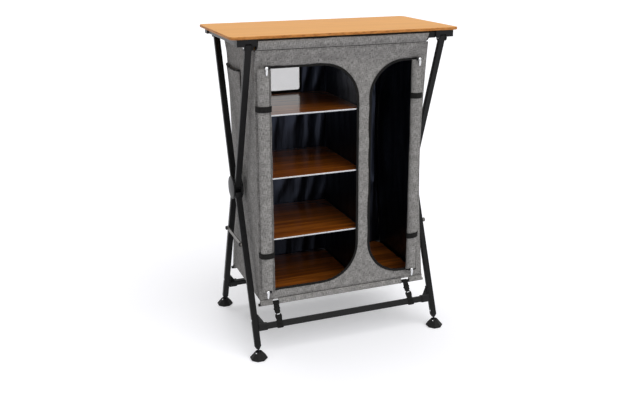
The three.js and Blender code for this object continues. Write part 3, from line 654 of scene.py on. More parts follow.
def cut_cloth(
    outline: Array, holes: Sequence[Array], step: float, rows: Sequence[float] = ()
) -> tuple[Array, Array]:
    """Mesh a flat cut of cloth, with its holes, in triangles of about a step.

    The triangles follow level lines at the heights in rows.
    """
    loops = [closed_ring(loop, step) for loop in [outline, *holes]]
    low, high = outline.min(0), outline.max(0)
    count = np.ceil((high - low) / step).astype(int)
    across, up = np.meshgrid(*(np.linspace(low[k], high[k], count[k] + 1) for k in (0, 1)))
    across[1::2] += step / 2
    field = columns(across, up)
    for row in rows:
        field = field[abs(field[:, 1] - row) > step / 3]
    field = np.concatenate([field, *(columns(across[0], row) for row in rows)])
    field = field[inside(field, loops[0])]
    for loop in loops[1:]:
        field = field[~inside(field, loop)]
    for loop in loops:
        field = field[clear_of(field, loop, step / 2)]
    edges, base = [], 0
    for loop in loops:
        i = np.arange(len(loop))
        edges += columns(base + i, base + (i + 1) % len(loop)).tolist()
        base += len(loop)
    flat = np.concatenate([*loops, field])
    made = delaunay_2d_cdt([Vector(p) for p in flat.tolist()], edges, [], 0, WELD, False)
    points = np.array([tuple(p) for p in made[0]])
    triangles = np.array([tuple(face) for face in made[2]])
    middle = points[triangles].mean(1)
    keep = inside(middle, loops[0])
    for loop in loops[1:]:
        keep &= ~inside(middle, loop)
    return points, triangles[keep]


# Pieces from arrays and from the frame's nodes


def node_box(name: str) -> tuple[Array, Array]:
    """Return the lowest and the highest corner of a node."""
    low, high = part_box(name)
    return np.array(low), np.array(high)


def fill_mesh(mesh: bpy.types.Mesh, points: Array, faces: Sequence[Array]) -> None:
    """Put points, and blocks of faces with an equal number of corners, into a mesh."""
    faces = [np.asarray(block, np.int32) for block in faces if len(block)]
    loops = np.concatenate([block.ravel() for block in faces])
    counts = np.concatenate([np.full(len(block), block.shape[1]) for block in faces])
    starts = np.concatenate([[0], np.cumsum(counts)[:-1]]).astype(np.int32)
    mesh.vertices.add(len(points))
    mesh.vertices.foreach_set("co", np.asarray(points, np.float32).ravel())
    mesh.loops.add(len(loops))
    mesh.loops.foreach_set("vertex_index", loops)
    mesh.polygons.add(len(starts))
    mesh.polygons.foreach_set("loop_start", starts)
    mesh.update(calc_edges=True)
    mesh.validate()


def linked(name: str, data: bpy.types.ID) -> Piece:
    """Put data into the scene as an object."""
    made = bpy.data.objects.new(name, data)
    bpy.context.scene.collection.objects.link(made)
    return made


def outward(mesh: bpy.types.Mesh) -> None:
    """Merge a closed mesh's doubles and turn its faces outwards."""
    work = bmesh.new()
    work.from_mesh(mesh)
    bmesh.ops.remove_doubles(work, verts=work.verts, dist=WELD)
    bmesh.ops.recalc_face_normals(work, faces=work.faces)
    work.to_mesh(mesh)
    work.free()


def add_piece(
    name: str,
    points: Array,
    faces: Sequence[Array],
    body: str,
    finish: Finish,
    uv: Array | None = None,
    closed: bool = True,
    smooth: float = SMOOTH_ANGLE,
) -> Piece:
    """Make a piece from arrays, dress it and let it ride on a body.

    Args:
        name: The piece's name.
        points: Its points.
        faces: Its faces, as fill_mesh takes them.
        body: The body that it rides on.
        finish: The finish on all of it.
        uv: Cloth coordinates of each point, in metres.
        closed: Whether the mesh is a closed shell.
        smooth: The angle above which an edge stays sharp.
    """
    mesh = bpy.data.meshes.new(name)
    fill_mesh(mesh, points, faces)
    if uv is not None:
        layer = mesh.uv_layers.new(name="cloth")
        index = np.zeros(len(mesh.loops), np.int32)
        mesh.loops.foreach_get("vertex_index", index)
        layer.data.foreach_set("uv", np.asarray(uv, np.float32)[index].ravel())
    if closed:
        outward(mesh)
    mesh.shade_smooth()
    mesh.set_sharp_from_angle(angle=smooth)
    piece = linked(name, mesh)
    mesh.materials.append(finish.material())
    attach(piece, body)
    LOG.info("%s: %d faces", name, len(mesh.polygons))
    return piece


def sweep(
    name: str,
    profile: Profile,
    path: Array,
    side: Array,
    finish: Finish,
    body: str = FRAME,
    closed: bool = False,
    scale: Sequence[float] | None = None,
) -> Piece:
    """Carry a profile along a path, as a piece of its own."""
    points, faces, uv = carried(profile.outline(), path, side, closed, scale)
    return add_piece(name, points, faces, body, finish, uv if finish.source == "UV" else None)


def add_cloth(
    name: str,
    points: Array,
    faces: Array,
    uv: Array,
    finish: Finish,
    thickness: float,
    node: str | None,
) -> Piece:
    """Make an open sheet of cloth, give it its thickness, and let it stand for a node."""
    piece = add_piece(name, points, [faces], FRAME, finish, uv, closed=False)
    modifier = piece.modifiers.new("thickness", "SOLIDIFY")
    modifier.thickness = thickness
    modifier.offset = 0.0
    if node:
        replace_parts(piece, node)
    return piece


def add_grid(
    name: str,
    surface: tuple[Array, Array, Array],
    flat: tuple[Array, Array],
    finish: Finish,
    thickness: float,
    node: str,
    flip: bool = False,
) -> Piece:
    """Make a sheet of cloth from a grid: the three coordinates of its points, and two flat."""
    faces = grid_faces(*surface[0].shape)
    faces = faces[:, ::-1] if flip else faces
    return add_cloth(name, columns(*surface), faces, columns(*flat), finish, thickness, node)


def mesh_area(piece: Piece) -> float:
    """Return the area of a piece's mesh."""
    piece.data.calc_loop_triangles()
    return sum(triangle.area for triangle in piece.data.loop_triangles)


def declare(piece: Piece, flat: Span) -> None:
    """Work out the area of a piece's mesh, no more than its flat cut's area; nothing uses it."""
    width, length = flat
    area = min(mesh_area(piece), width * length)


def declare_strip(piece: Piece, length: float) -> None:
    """Work out a piece's mesh area over its length; nothing uses it."""
    mesh_area(piece) / length


def softened(node: Piece, finish: Finish, width: float, segments: int = 2) -> Piece:
    """Copy a rigid node with softly rounded edges, and let the copy stand for it."""
    mesh = bpy.data.meshes.new(node.name + "_softened")
    work = bmesh.new()
    work.from_mesh(node.data)
    bmesh.ops.remove_doubles(work, verts=work.verts, dist=WELD)
    bmesh.ops.dissolve_limit(work, angle_limit=FLAT_ANGLE, verts=work.verts, edges=work.edges)
    work.to_mesh(mesh)
    work.free()
    mesh.shade_smooth()
    mesh.set_sharp_from_angle(angle=EDGE_ANGLE)
    mesh.materials.append(finish.material())
    piece = linked(mesh.name, mesh)
    rounding = piece.modifiers.new("rounding", "BEVEL")
    rounding.width = width
    rounding.segments = segments
    rounding.limit_method = "ANGLE"
    rounding.angle_limit = EDGE_ANGLE
    rounding.harden_normals = True
    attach(piece, node["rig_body"])
    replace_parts(piece, node.name)
    return piece


# The frame of tubes


@dataclass(frozen=True)
class Layout:
    """Places that several sub-assemblies share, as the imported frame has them."""

    half_width: float = 0.455
    leg_x: float = 0.3875
    hub_z: float = 0.628
    pivot_y: float = 0.030
    pivot_rise: float = 0.022
    top_pivot_y: float = 0.231
    top_pivot_z: float = 1.210
    foot_y: float = 0.2626
    ball_z: float = 0.020
    bar_z: float = 0.114
    tube_wide: float = 0.025
    tube_deep: float = 0.018
    gap: float = 0.0003

    @property
    def pivot_z(self) -> float:
        """The height of the lower legs' pivots."""
        return self.hub_z - self.pivot_rise

    @property
    def lean(self) -> float:
        """The angle of the lower legs from upright."""
        return math.atan2(self.foot_y - self.pivot_y, self.pivot_z - self.ball_z)

    @property
    def reach(self) -> float:
        """The distance from a lower leg's pivot to the middle of its foot's ball."""
        return math.hypot(self.foot_y - self.pivot_y, self.pivot_z - self.ball_z)

    @property
    def bar_down(self) -> float:
        """The distance down a lower leg to its bar."""
        return (self.pivot_z - self.bar_z) / math.cos(self.lean)

    def lower_point(self, end: End, down: float, out: float = 0.0, x: float = 0.0) -> Array:
        """Return a point of a lower leg: down from its pivot, and out from the cabinet."""
        y = self.pivot_y + down * math.sin(self.lean) + out * math.cos(self.lean)
        z = self.pivot_z - down * math.cos(self.lean) + out * math.sin(self.lean)
        return np.array([x, end.value * y, z])


LAYOUT = Layout()


@dataclass(frozen=True)
class FlutedTube:
    """A rectangular aluminium tube with round corners and shallow flutes along it."""

    wide: float = 0.025
    deep: float = 0.018
    corner: float = 0.004
    flute_pitch: float = 0.0042
    flute_depth: float = 0.00035
    spacing: float = 0.0006
    bore: Profile = Profile(0.022, 0.015, 32, 6.0)

    def outline(self) -> Array:
        """Return the outline: a rounded rectangle pressed in by a cosine of the flute pitch."""
        ring = closed_ring(rounded_box(self.wide, self.deep, self.corner, 7), self.spacing)
        flat_wide = abs(ring[:, 0]) < self.wide / 2 - self.corner
        flat_deep = abs(ring[:, 1]) < self.deep / 2 - self.corner
        place = np.where(flat_wide, ring[:, 0], ring[:, 1])
        press = self.flute_depth * (1 - np.cos(2 * np.pi * place / self.flute_pitch)) / 2
        press = np.where(flat_wide | flat_deep, press, 0.0)
        inward = np.where(flat_wide[:, None], [0.0, 1.0], [1.0, 0.0]) * np.sign(ring)
        return ring - press[:, None] * inward

    def between(self, start: Array, stop: Array, side: Array) -> Shape:
        """Build the hollow tube between two points, with its wide side towards a direction."""
        path = np.stack([start, stop])
        outer, outer_faces, _ = carried(self.outline(), path, side)
        inner, inner_faces, _ = carried(self.bore.outline(), path, side)
        base, count = len(outer), len(outer) // 2
        blocks = [outer_faces[0], inner_faces[0][:, ::-1] + base]
        around = np.arange(count)
        following = (around + 1) % count
        match = np.round(around * self.bore.count / count).astype(int) % self.bore.count
        for level in (0, 1):
            bore = base + match + level * self.bore.count
            whole = bore != bore[following]
            rim = [around + level * count, following + level * count, bore[following], bore]
            rim = np.stack(rim, axis=1)
            blocks += [rim[whole], rim[~whole][:, :3]]
        return np.concatenate([outer, inner]), blocks


@dataclass
class TubeFrame:
    """The rails, the legs, the bars, their joints and the hubs."""

    nodes: dict[str, Piece]
    end_over: float = 0.010
    leg_end_to_ball: float = 0.030
    leg_above_pivot: float = 0.0045
    cap: Profile = Profile(0.0244, 0.0174, 40, 5.0)
    cap_rises: Row = (-0.003, 0.0004, 0.0012, 0.0016)
    cap_shares: Row = (0.85, 1.0, 0.97, 0.9)
    collar: Profile = Profile(0.031, 0.022, 40, 5.0)
    collar_above: float = 0.006
    collar_below: float = 0.015
    collar_path_shares: Row = (0.0, 0.04, 0.1, 0.9, 0.96, 1.0)
    collar_shares: Row = (0.93, 0.98, 1.0, 1.0, 0.98, 0.93)
    moulded_edge: float = 0.0009
    stamped_edge: float = 0.0005
    rivet_radius: float = 0.0042
    rivet_height: float = 0.0016
    ear_thick: float = 0.0043
    hub_radius: float = 0.0445
    hub_face: float = 0.4073
    hub_dome: float = 0.0042
    knob_face: float = 0.4083
    knob_radius: float = 0.0088
    knob_dome: float = 0.0035
    dome_rim_share: float = 0.2
    stay_z: float = 0.421
    bracket_rise: float = 0.030
    leg_end_rivet: float = 0.016

    def build(self) -> None:
        """Build every tube, then the moulded parts, the covers and the rivets."""
        self.rails()
        for end in End:
            for side in Side:
                self.legs(end, side)
            self.bar(end)
        self.moulded_parts()
        self.covers()
        self.rivets()

    def tube(self, name: str, start: Array, stop: Array, side: Array, body: str) -> None:
        """Build one fluted tube in place of its node."""
        points, faces = FlutedTube().between(start, stop, side)
        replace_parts(add_piece(f"{name}_tube", points, faces, body, ANODISED, closed=False), name)

    def rails(self) -> None:
        """Build the four rails along the longest side of their nodes."""
        for name in ("front_rail", "rear_rail", "left_rail", "right_rail"):
            low, high = node_box(name)
            middle, half = (low + high) / 2, (high - low) / 2
            reach = np.where(half == half.max(), half, 0.0)
            self.tube(name, middle - reach, middle + reach, UP, FRAME)

    def bar(self, end: End) -> None:
        """Build the bar between the two lower legs of one end."""
        name = f"{end.word}_bar"
        low, high = node_box(name)
        middle = LAYOUT.lower_point(end, LAYOUT.bar_down)
        reach = ACROSS * (high[0] - low[0]) / 2
        down_leg = unit(LAYOUT.lower_point(end, 1.0) - LAYOUT.lower_point(end, 0.0))
        self.tube(name, middle - reach, middle + reach, down_leg, LEG_BODY[end])

    def legs(self, end: End, side: Side) -> None:
        """Build one upper leg with its cap and one lower leg with its collar."""
        corner = f"{end.word}_{side.word}"
        x = side.value * LAYOUT.leg_x
        low = np.array([x, end.value * LAYOUT.pivot_y, LAYOUT.hub_z + LAYOUT.pivot_rise])
        high = np.array([x, end.value * LAYOUT.top_pivot_y, LAYOUT.top_pivot_z])
        rise = unit(high - low)
        crown = high + rise * self.end_over
        self.tube(f"{corner}_upper_leg", low - rise * self.end_over, crown, ACROSS, FRAME)
        path = crown + rise * np.array(self.cap_rises)[:, None]
        sweep(f"{corner}_leg_cap", self.cap, path, ACROSS, ABS, scale=self.cap_shares)
        name = f"{corner}_lower_leg"
        start = LAYOUT.lower_point(end, -self.leg_above_pivot, x=x)
        stop = LAYOUT.lower_point(end, LAYOUT.reach - self.leg_end_to_ball, x=x)
        self.tube(name, start, stop, ACROSS, LEG_BODY[end])
        top = LAYOUT.lower_point(end, -self.collar_above, x=x)
        foot = LAYOUT.lower_point(end, self.collar_below, x=x)
        path = top + (foot - top) * np.array(self.collar_path_shares)[:, None]
        collar = sweep(
            f"{corner}_collar", self.collar, path, ACROSS, ABS, LEG_BODY[end],
            scale=self.collar_shares,
        )
        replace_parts(collar, name)

    def moulded_parts(self) -> None:
        """Round the edges of every moulded and stamped part."""
        for _, _, corner in corners():
            for part in ("corner_joint", "leg_plug", "bracket"):
                softened(self.nodes[f"{corner}_{part}"], ABS, self.moulded_edge)
        for side in Side:
            softened(self.nodes[f"{side.word}_hub"], ABS, self.moulded_edge)
            softened(self.nodes[f"{side.word}_stay"], BARE_STRIP, self.stamped_edge)
        for end in End:
            softened(self.nodes[f"{end.word}_hem_rod"], ABS, self.stamped_edge)

    def dome(self, name: str, centre: Triple, radius: float, height: float, body: str) -> None:
        """Set a shallow dome on an outer face: height falls with the square of the radius."""
        share = np.linspace(0, 1, 10)[1:]
        rim = height * self.dome_rim_share
        skirt = [[0.0, -height / 2], [radius, -height / 2], [radius, rim]]
        crown = columns(radius * (1 - share), rim + height * (1 - (1 - share) ** 2))
        profile = np.concatenate([skirt, crown]) * [1.0, math.copysign(1.0, centre[0])]
        add_piece(name, *turned(profile, centre, axis=0, count=40), body, ABS)

    def covers(self) -> None:
        """Put the domed cover on each hub, and the caps on the stays' knobs."""
        y = LAYOUT.pivot_y + math.tan(LAYOUT.lean) * (LAYOUT.pivot_z - self.stay_z)
        for side in Side:
            centre = (side.value * self.hub_face, 0.0, LAYOUT.hub_z)
            self.dome(f"{side.word}_hub_cover", centre, self.hub_radius, self.hub_dome, FRAME)
            for end in End:
                centre = (side.value * self.knob_face, end.value * y, self.stay_z)
                stay = f"{side.word}_stay"
                self.dome(f"{stay}_{end.word}_cap", centre, self.knob_radius, self.knob_dome, stay)

    def rivets(self) -> None:
        """Set the bright rivets on the ears, the brackets and the legs' lower ends."""
        inner, outer = (LAYOUT.leg_x + sign * LAYOUT.tube_wide / 2 for sign in (-1, 1))
        leg_end = LAYOUT.reach - self.leg_end_to_ball - self.leg_end_rivet
        for end, side, corner in corners():
            ear = (0.0, end.value * LAYOUT.top_pivot_y, LAYOUT.top_pivot_z)
            bracket = LAYOUT.lower_point(end, LAYOUT.bar_down - self.bracket_rise)
            for label, body, place, x, sign in (
                ("inner", FRAME, ear, inner - self.ear_thick, -1),
                ("outer", FRAME, ear, outer + self.ear_thick, 1),
                ("bracket", LEG_BODY[end], bracket, outer, 1),
                ("end", LEG_BODY[end], LAYOUT.lower_point(end, leg_end), inner, -1),
            ):
                place = (side.value * x, place[1], place[2])
                self.rivet(f"{corner}_{label}_rivet", place, sign * side.value, body)

    def rivet(self, name: str, place: Triple, sign: int, body: str) -> None:
        """Set one rivet head: a low dome on a short skirt, along X."""
        angle = np.linspace(0, np.pi / 2, 6)
        crown = columns(self.rivet_radius * np.cos(angle), self.rivet_height * np.sin(angle))
        below = -self.rivet_height / 2
        profile = np.concatenate([[[0.0, below], [self.rivet_radius, below]], crown])
        add_piece(name, *turned(profile * [1, sign], place, axis=0, count=20), body, NICKEL_AND_PAINTED_HIGHLIGHT)


@dataclass
class Feet:
    """The threaded studs with their balls, the rubber feet and a painted highlight on each foot.
    """

    nodes: dict[str, Piece]
    stud_radius: float = 0.0040
    thread_pitch: float = 0.0015
    thread_depth: float = 0.0005
    ball_radius: float = 0.0075
    stud_length: float = 0.074
    steps_a_turn: int = 4
    foot_edge: float = 0.0015
    # A small bright dome on each foot: a painted highlight
    pin_radius: float = 0.0028
    pin_place: Span = (-0.0125, -0.0100)
    pin_z: float = 0.0280

    def build(self) -> None:
        """Build the four studs and the four feet, each foot with a painted highlight."""
        for end, side, corner in corners():
            softened(self.nodes[f"{corner}_foot"], RUBBER, self.foot_edge, segments=3)
            x = side.value * LAYOUT.leg_x
            ball = LAYOUT.lower_point(end, LAYOUT.reach, x=x)
            top = LAYOUT.lower_point(end, LAYOUT.reach - self.stud_length, x=x)
            self.stud(corner, ball, top)
            self.pin(corner, ball)

    def pin(self, corner: str, ball: Array) -> None:
        """Set a small bright nickel dome into the foot's cup, on the same side of every foot: a
        painted highlight.
        """
        place = (ball[0] + self.pin_place[0], ball[1] + self.pin_place[1], self.pin_z)
        shape = turned(half_circle(self.pin_radius, 9), place, axis=2, count=16)
        add_piece(f"{corner}_foot_pin", *shape, f"{corner}_foot", NICKEL_AND_PAINTED_HIGHLIGHT)

    def stud(self, corner: str, ball: Array, top: Array) -> None:
        """Build a thread whose radius falls along a helix, and the ball at its lower end."""
        sides, steps = 16, int(self.stud_length / self.thread_pitch * self.steps_a_turn)
        share = np.linspace(0, 1, steps)[:, None]
        around = np.arange(sides)
        angle = around / sides * 2 * np.pi
        turn = share * self.stud_length / self.thread_pitch - angle / (2 * np.pi)
        radius = self.stud_radius - self.thread_depth * abs(2 * (turn % 1) - 1)
        third = np.cross(unit(top - ball), ACROSS)
        ring = np.cos(angle)[:, None] * ACROSS + np.sin(angle)[:, None] * third
        points = (ball + share * (top - ball))[:, None] + radius[..., None] * ring
        faces = [grid_faces(steps, sides, wrap=True), around[None, ::-1]]
        faces.append(around[None] + (steps - 1) * sides)
        ball_shape = turned(half_circle(self.ball_radius, 17), ball, axis=2, count=24)
        shape = stacked([(points.reshape(-1, 3), faces), ball_shape])
        name = f"{corner}_foot_stud"
        piece = add_piece(
            f"{name}_thread", *shape, f"{corner}_stud", BLACK_STEEL, smooth=THREAD_ANGLE
        )
        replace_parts(piece, name)


@dataclass
class Worktop:
    """The bamboo tabletop."""

    nodes: dict[str, Piece]
    edge: float = 0.0004
    flat_share: float = 0.7

    def build(self) -> None:
        """Round the board's edges, and give its sawn edge its own finish."""
        piece = softened(self.nodes["tabletop"], BambooTop(), self.edge)
        piece.data.materials.append(BambooEdge().material())
        for face in piece.data.polygons:
            face.material_index = int(abs(face.normal.z) < self.flat_share)


# The cloth cabinet


@dataclass(frozen=True)
class CornerEdge:
    """One upright edge of the cabinet, as insets from the tabletop's side."""

    side: Side
    bottom: float
    top: float
    bow: float = 0.0
    tuck: float = 0.0


@dataclass(frozen=True)
class CabinetShape:
    """The cabinet's outline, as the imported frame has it."""

    hem_z: float = 0.190
    hem_seam_z: float = 0.216
    sleeve_seam_z: float = 1.197
    flare_z: float = 1.130
    half_depth: float = 0.203
    rail_y: float = 0.228
    rod_z: float = 0.1978
    rod_loop: float = 0.00705
    rail_half: float = 0.00930
    rail_bottom_z: float = 1.2118
    rail_top_z: float = 1.2371
    cloth: float = 0.0015
    floor_z: float = 0.2207
    divider_x: float = 0.07189
    front_left: CornerEdge = CornerEdge(Side.LEFT, bottom=0.0955, top=0.095)
    rear_left: CornerEdge = CornerEdge(Side.LEFT, bottom=0.096, top=0.099, bow=0.014)
    front_right: CornerEdge = CornerEdge(
        Side.RIGHT, bottom=0.103, top=0.112, bow=0.024, tuck=0.013
    )
    rear_right: CornerEdge = CornerEdge(
        Side.RIGHT, bottom=0.104, top=0.112, bow=0.020, tuck=0.013
    )

    def flare(self, z: Array | float) -> Array:
        """Return how far the cloth is on its way to the rails: a smooth step of the height."""
        share = np.clip((z - self.flare_z) / (self.sleeve_seam_z - self.flare_z), 0, 1)
        return share * share * (3 - 2 * share)

    def edge_x(self, edge: CornerEdge, z: Array | float) -> Array:
        """Return an edge's X: a straight line, a half sine of bow and the tuck at the top."""
        share = np.clip((z - self.hem_z) / (self.sleeve_seam_z - self.hem_z), 0, 1)
        inset = edge.bottom + (edge.top - edge.bottom) * share
        inset = inset + edge.bow * np.sin(np.pi * share) + edge.tuck * self.flare(z)
        return edge.side.value * (LAYOUT.half_width - inset)

    def cloth_y(self, z: Array | float) -> Array:
        """Return the distance of the front or rear cloth's inner face from the middle."""
        return self.half_depth + (self.rail_y - self.half_depth) * self.flare(z)

    def middle_y(self, z: Array | float) -> Array:
        """Return the distance of the front or rear cloth's middle from the object's."""
        return self.cloth_y(z) + self.cloth / 2

    def edges(self, end: End) -> tuple[CornerEdge, CornerEdge]:
        """Return the left and right edge of the front or the rear cloth."""
        if end is End.FRONT:
            return self.front_left, self.front_right
        return self.rear_left, self.rear_right

    def flank_x(self, side: Side, share: Array, z: Array | float) -> Array:
        """Return a flank's X at a share of the way from the front to the rear."""
        front, rear = (self.edges(end)[list(Side).index(side)] for end in End)
        return self.edge_x(front, z) * (1 - share) + self.edge_x(rear, z) * share

    def depth_share(self, y: Array, z: Array | float) -> Array:
        """Return the share of the way from the front cloth to the rear cloth."""
        return (y + self.cloth_y(z)) / (2 * self.cloth_y(z))


SHAPE = CabinetShape()
SHELF_LEVELS = (0.4648, 0.7089, 0.9529)


def soft_waves(u: Array, v: Array, seed: int, length: float) -> Array:
    """Add up waves of a mean length, with directions and phases from a seed, to about one."""
    count, shortest, longest = 14, 0.5, 1.6
    random = np.random.default_rng(seed)
    total = np.zeros(np.shape(u))
    for _ in range(count):
        angle, phase = random.uniform(0, np.pi), random.uniform(0, 2 * np.pi)
        wave = length * random.uniform(shortest, longest)
        reach = (u * np.cos(angle) + v * np.sin(angle)) / wave
        total = total + np.sin(2 * np.pi * reach + phase)
    return total / math.sqrt(count)


@dataclass(frozen=True)
class Crease:
    """A ridge of cloth along a line, which fades with the distance from the line."""

    height: float
    width: float
    start: Span
    stop: Span
    end_share: float = 0.02

    def over(self, x: Array, z: Array) -> Array:
        """Return the ridge's height at each point."""
        start, stop = np.array(self.start), np.array(self.stop)
        line = stop - start
        share = ((x - start[0]) * line[0] + (z - start[1]) * line[1]) / (line @ line)
        share = np.clip(share, 0, 1)
        off = np.hypot(x - start[0] - share * line[0], z - start[1] - share * line[1])
        fade = np.sin(np.pi * np.clip(share, self.end_share, 1 - self.end_share))
        return self.height * (bell(off, self.width) * fade)


FRONT_CREASES = (
    Crease(0.0048, 0.009, (-0.130, 1.186), (-0.030, 1.158)),
    Crease(0.0040, 0.010, (0.020, 1.190), (0.100, 1.150)),
    Crease(-0.0036, 0.007, (-0.160, 1.170), (-0.060, 1.146)),
    Crease(0.0022, 0.010, (0.040, 1.020), (0.110, 1.010)),
    Crease(0.0026, 0.010, (-0.300, 1.165), (-0.190, 1.190)),
    Crease(0.0020, 0.004, (-0.290, 0.229), (-0.100, 0.231)),
    Crease(0.0018, 0.004, (-0.060, 0.228), (0.240, 0.232)),
)
FLANK_CREASES = (
    Crease(-0.0035, 0.018, (-0.165, 0.90), (-0.150, 0.45)),
    Crease(0.0030, 0.016, (-0.135, 0.95), (-0.120, 0.40)),
)
CORNER_FOLDS = (
    Crease(0.008, 0.007, (0.307, 0.29), (0.307, 1.16)),
    Crease(0.008, 0.006, (0.335, 0.29), (0.335, 1.18)),
)


@dataclass(frozen=True)
class HangingFolds:
    """The lining's hanging folds: rounded ridges that lean and fade unevenly."""

    length: float = 0.072
    lean: float = 3.08
    lean_z: float = 0.8
    drift_share: float = 0.12
    drift_length: float = 0.45
    drift_z: float = 0.2
    sway: float = 0.9
    sway_length: float = 0.21
    sharpness: float = 1.4
    swell: float = 0.8
    swell_change: float = 0.3
    swell_length: float = 0.16
    least_share: float = 0.15
    shelf_width: float = 0.022
    shelf_share: float = 0.5

    def over(self, x: Array, z: Array, seed: int) -> Array:
        """Return the ridges, from zero to one."""
        drift = self.drift_share * np.sin(
            2 * np.pi * (z - self.drift_z) / self.drift_length + seed
        )
        phase = 2 * np.pi * (x / self.length + drift - self.lean * (z - self.lean_z))
        phase = phase + self.sway * np.sin(2 * np.pi * x / self.sway_length)
        ridge = ((1 + np.cos(phase)) / 2) ** self.sharpness
        swell = self.swell + self.swell_change * soft_waves(x, z, seed, self.swell_length)
        level = sum(bell(z - shelf, self.shelf_width) for shelf in SHELF_LEVELS)
        return ridge * np.clip(swell, self.least_share, 1.0) * (1 - self.shelf_share * level)


FOLDS = HangingFolds()


@dataclass(frozen=True)
class Roll:
    """The place and size of a rolled door, seen from above."""

    x: float
    y: float
    half_wide: float
    half_deep: float

    def at(self, angle: Array | float, over: float = 0.0) -> tuple[Array, Array]:
        """Return the X and Y of a point on the roll, or over it."""
        x = self.x + (self.half_wide + over) * np.cos(angle)
        return x, self.y + (self.half_deep + over) * np.sin(angle)


@dataclass(frozen=True)
class Door:
    """One door opening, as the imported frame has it, and the place of its rolled door."""

    side: Side
    straight_x: float
    round_x: float
    roll_from: float
    roll_to: float
    turns: float
    bands: Span
    pulls: tuple[Span, Span]
    band_sag: float = 0.0
    top: float = 1.135
    bottom: float = 0.251
    radius: float = 0.1501
    trim_y: float = -0.2046
    roll_depth: float = 0.030
    roll_low: float = 0.256
    roll_high: float = 1.128

    def outline(self) -> Array:
        """Return the opening as a D: straight on one side, two quarter circles on the other."""
        turn = -self.side.value
        centre = self.round_x - turn * self.radius
        angle = np.linspace(0, np.pi / 2, 25)
        sine, cosine = self.radius * np.sin(angle), self.radius * np.cos(angle)
        upper = columns(centre + turn * sine, self.top - self.radius + cosine)
        lower = columns(centre + turn * cosine, self.bottom + self.radius - sine)
        straight = [[self.straight_x, self.bottom], [self.straight_x, self.top]]
        return np.concatenate([straight, upper, lower])

    @cached_property
    def roll(self) -> Roll:
        """Where the roll lies: as close to the cloth as the opening lets it."""
        centre = (self.roll_from + self.roll_to) / 2
        half = (self.roll_to - self.roll_from) / 2
        over = max(0.0, self.side.value * (self.straight_x - centre)) / half
        rest = self.roll_depth / 2 * math.sqrt(1 - over**2)
        y = -(SHAPE.half_depth + SHAPE.cloth + LAYOUT.gap + rest)
        return Roll(centre, y, half, self.roll_depth / 2)


LEFT_DOOR = Door(
    side=Side.LEFT,
    straight_x=-0.322,
    round_x=0.05489,
    roll_from=-0.356,
    roll_to=-0.3025,
    turns=3.5,
    bands=(0.982, 0.409),
    pulls=((-0.3225, 1.131), (-0.3350, 0.2588)),
)
RIGHT_DOOR = Door(
    side=Side.RIGHT,
    straight_x=0.303,
    round_x=0.09789,
    roll_from=0.268,
    roll_to=0.3155,
    turns=1.9,
    bands=(0.990, 0.410),
    pulls=((0.2945, 1.131), (0.2875, 0.2588)),
    band_sag=0.003,
)
DOORS = (LEFT_DOOR, RIGHT_DOOR)


@dataclass(frozen=True)
class Window:
    """The rear window's rounded rectangle."""

    left: float = -0.300
    right: float = -0.041
    bottom: float = 0.962
    top: float = 1.068
    corner: float = 0.012

    @property
    def middle(self) -> Array:
        """The window's middle."""
        return np.array([self.left + self.right, self.bottom + self.top]) / 2

    def outline(self, grow: float = 0.0) -> Array:
        """Return the window's outline, grown outwards."""
        wide = self.right - self.left + 2 * grow
        high = self.top - self.bottom + 2 * grow
        return self.middle + rounded_box(wide, high, self.corner + grow, 6)


WINDOW = Window()


@dataclass(frozen=True)
class Sewing:
    """Values that several parts of the cabinet share."""

    step: float = 0.0075
    canvas: float = 0.0009
    lining: float = 0.0004
    side_folds: float = 0.0010
    groove: float = 0.0024
    groove_half: float = 0.0032


SEWING = Sewing()


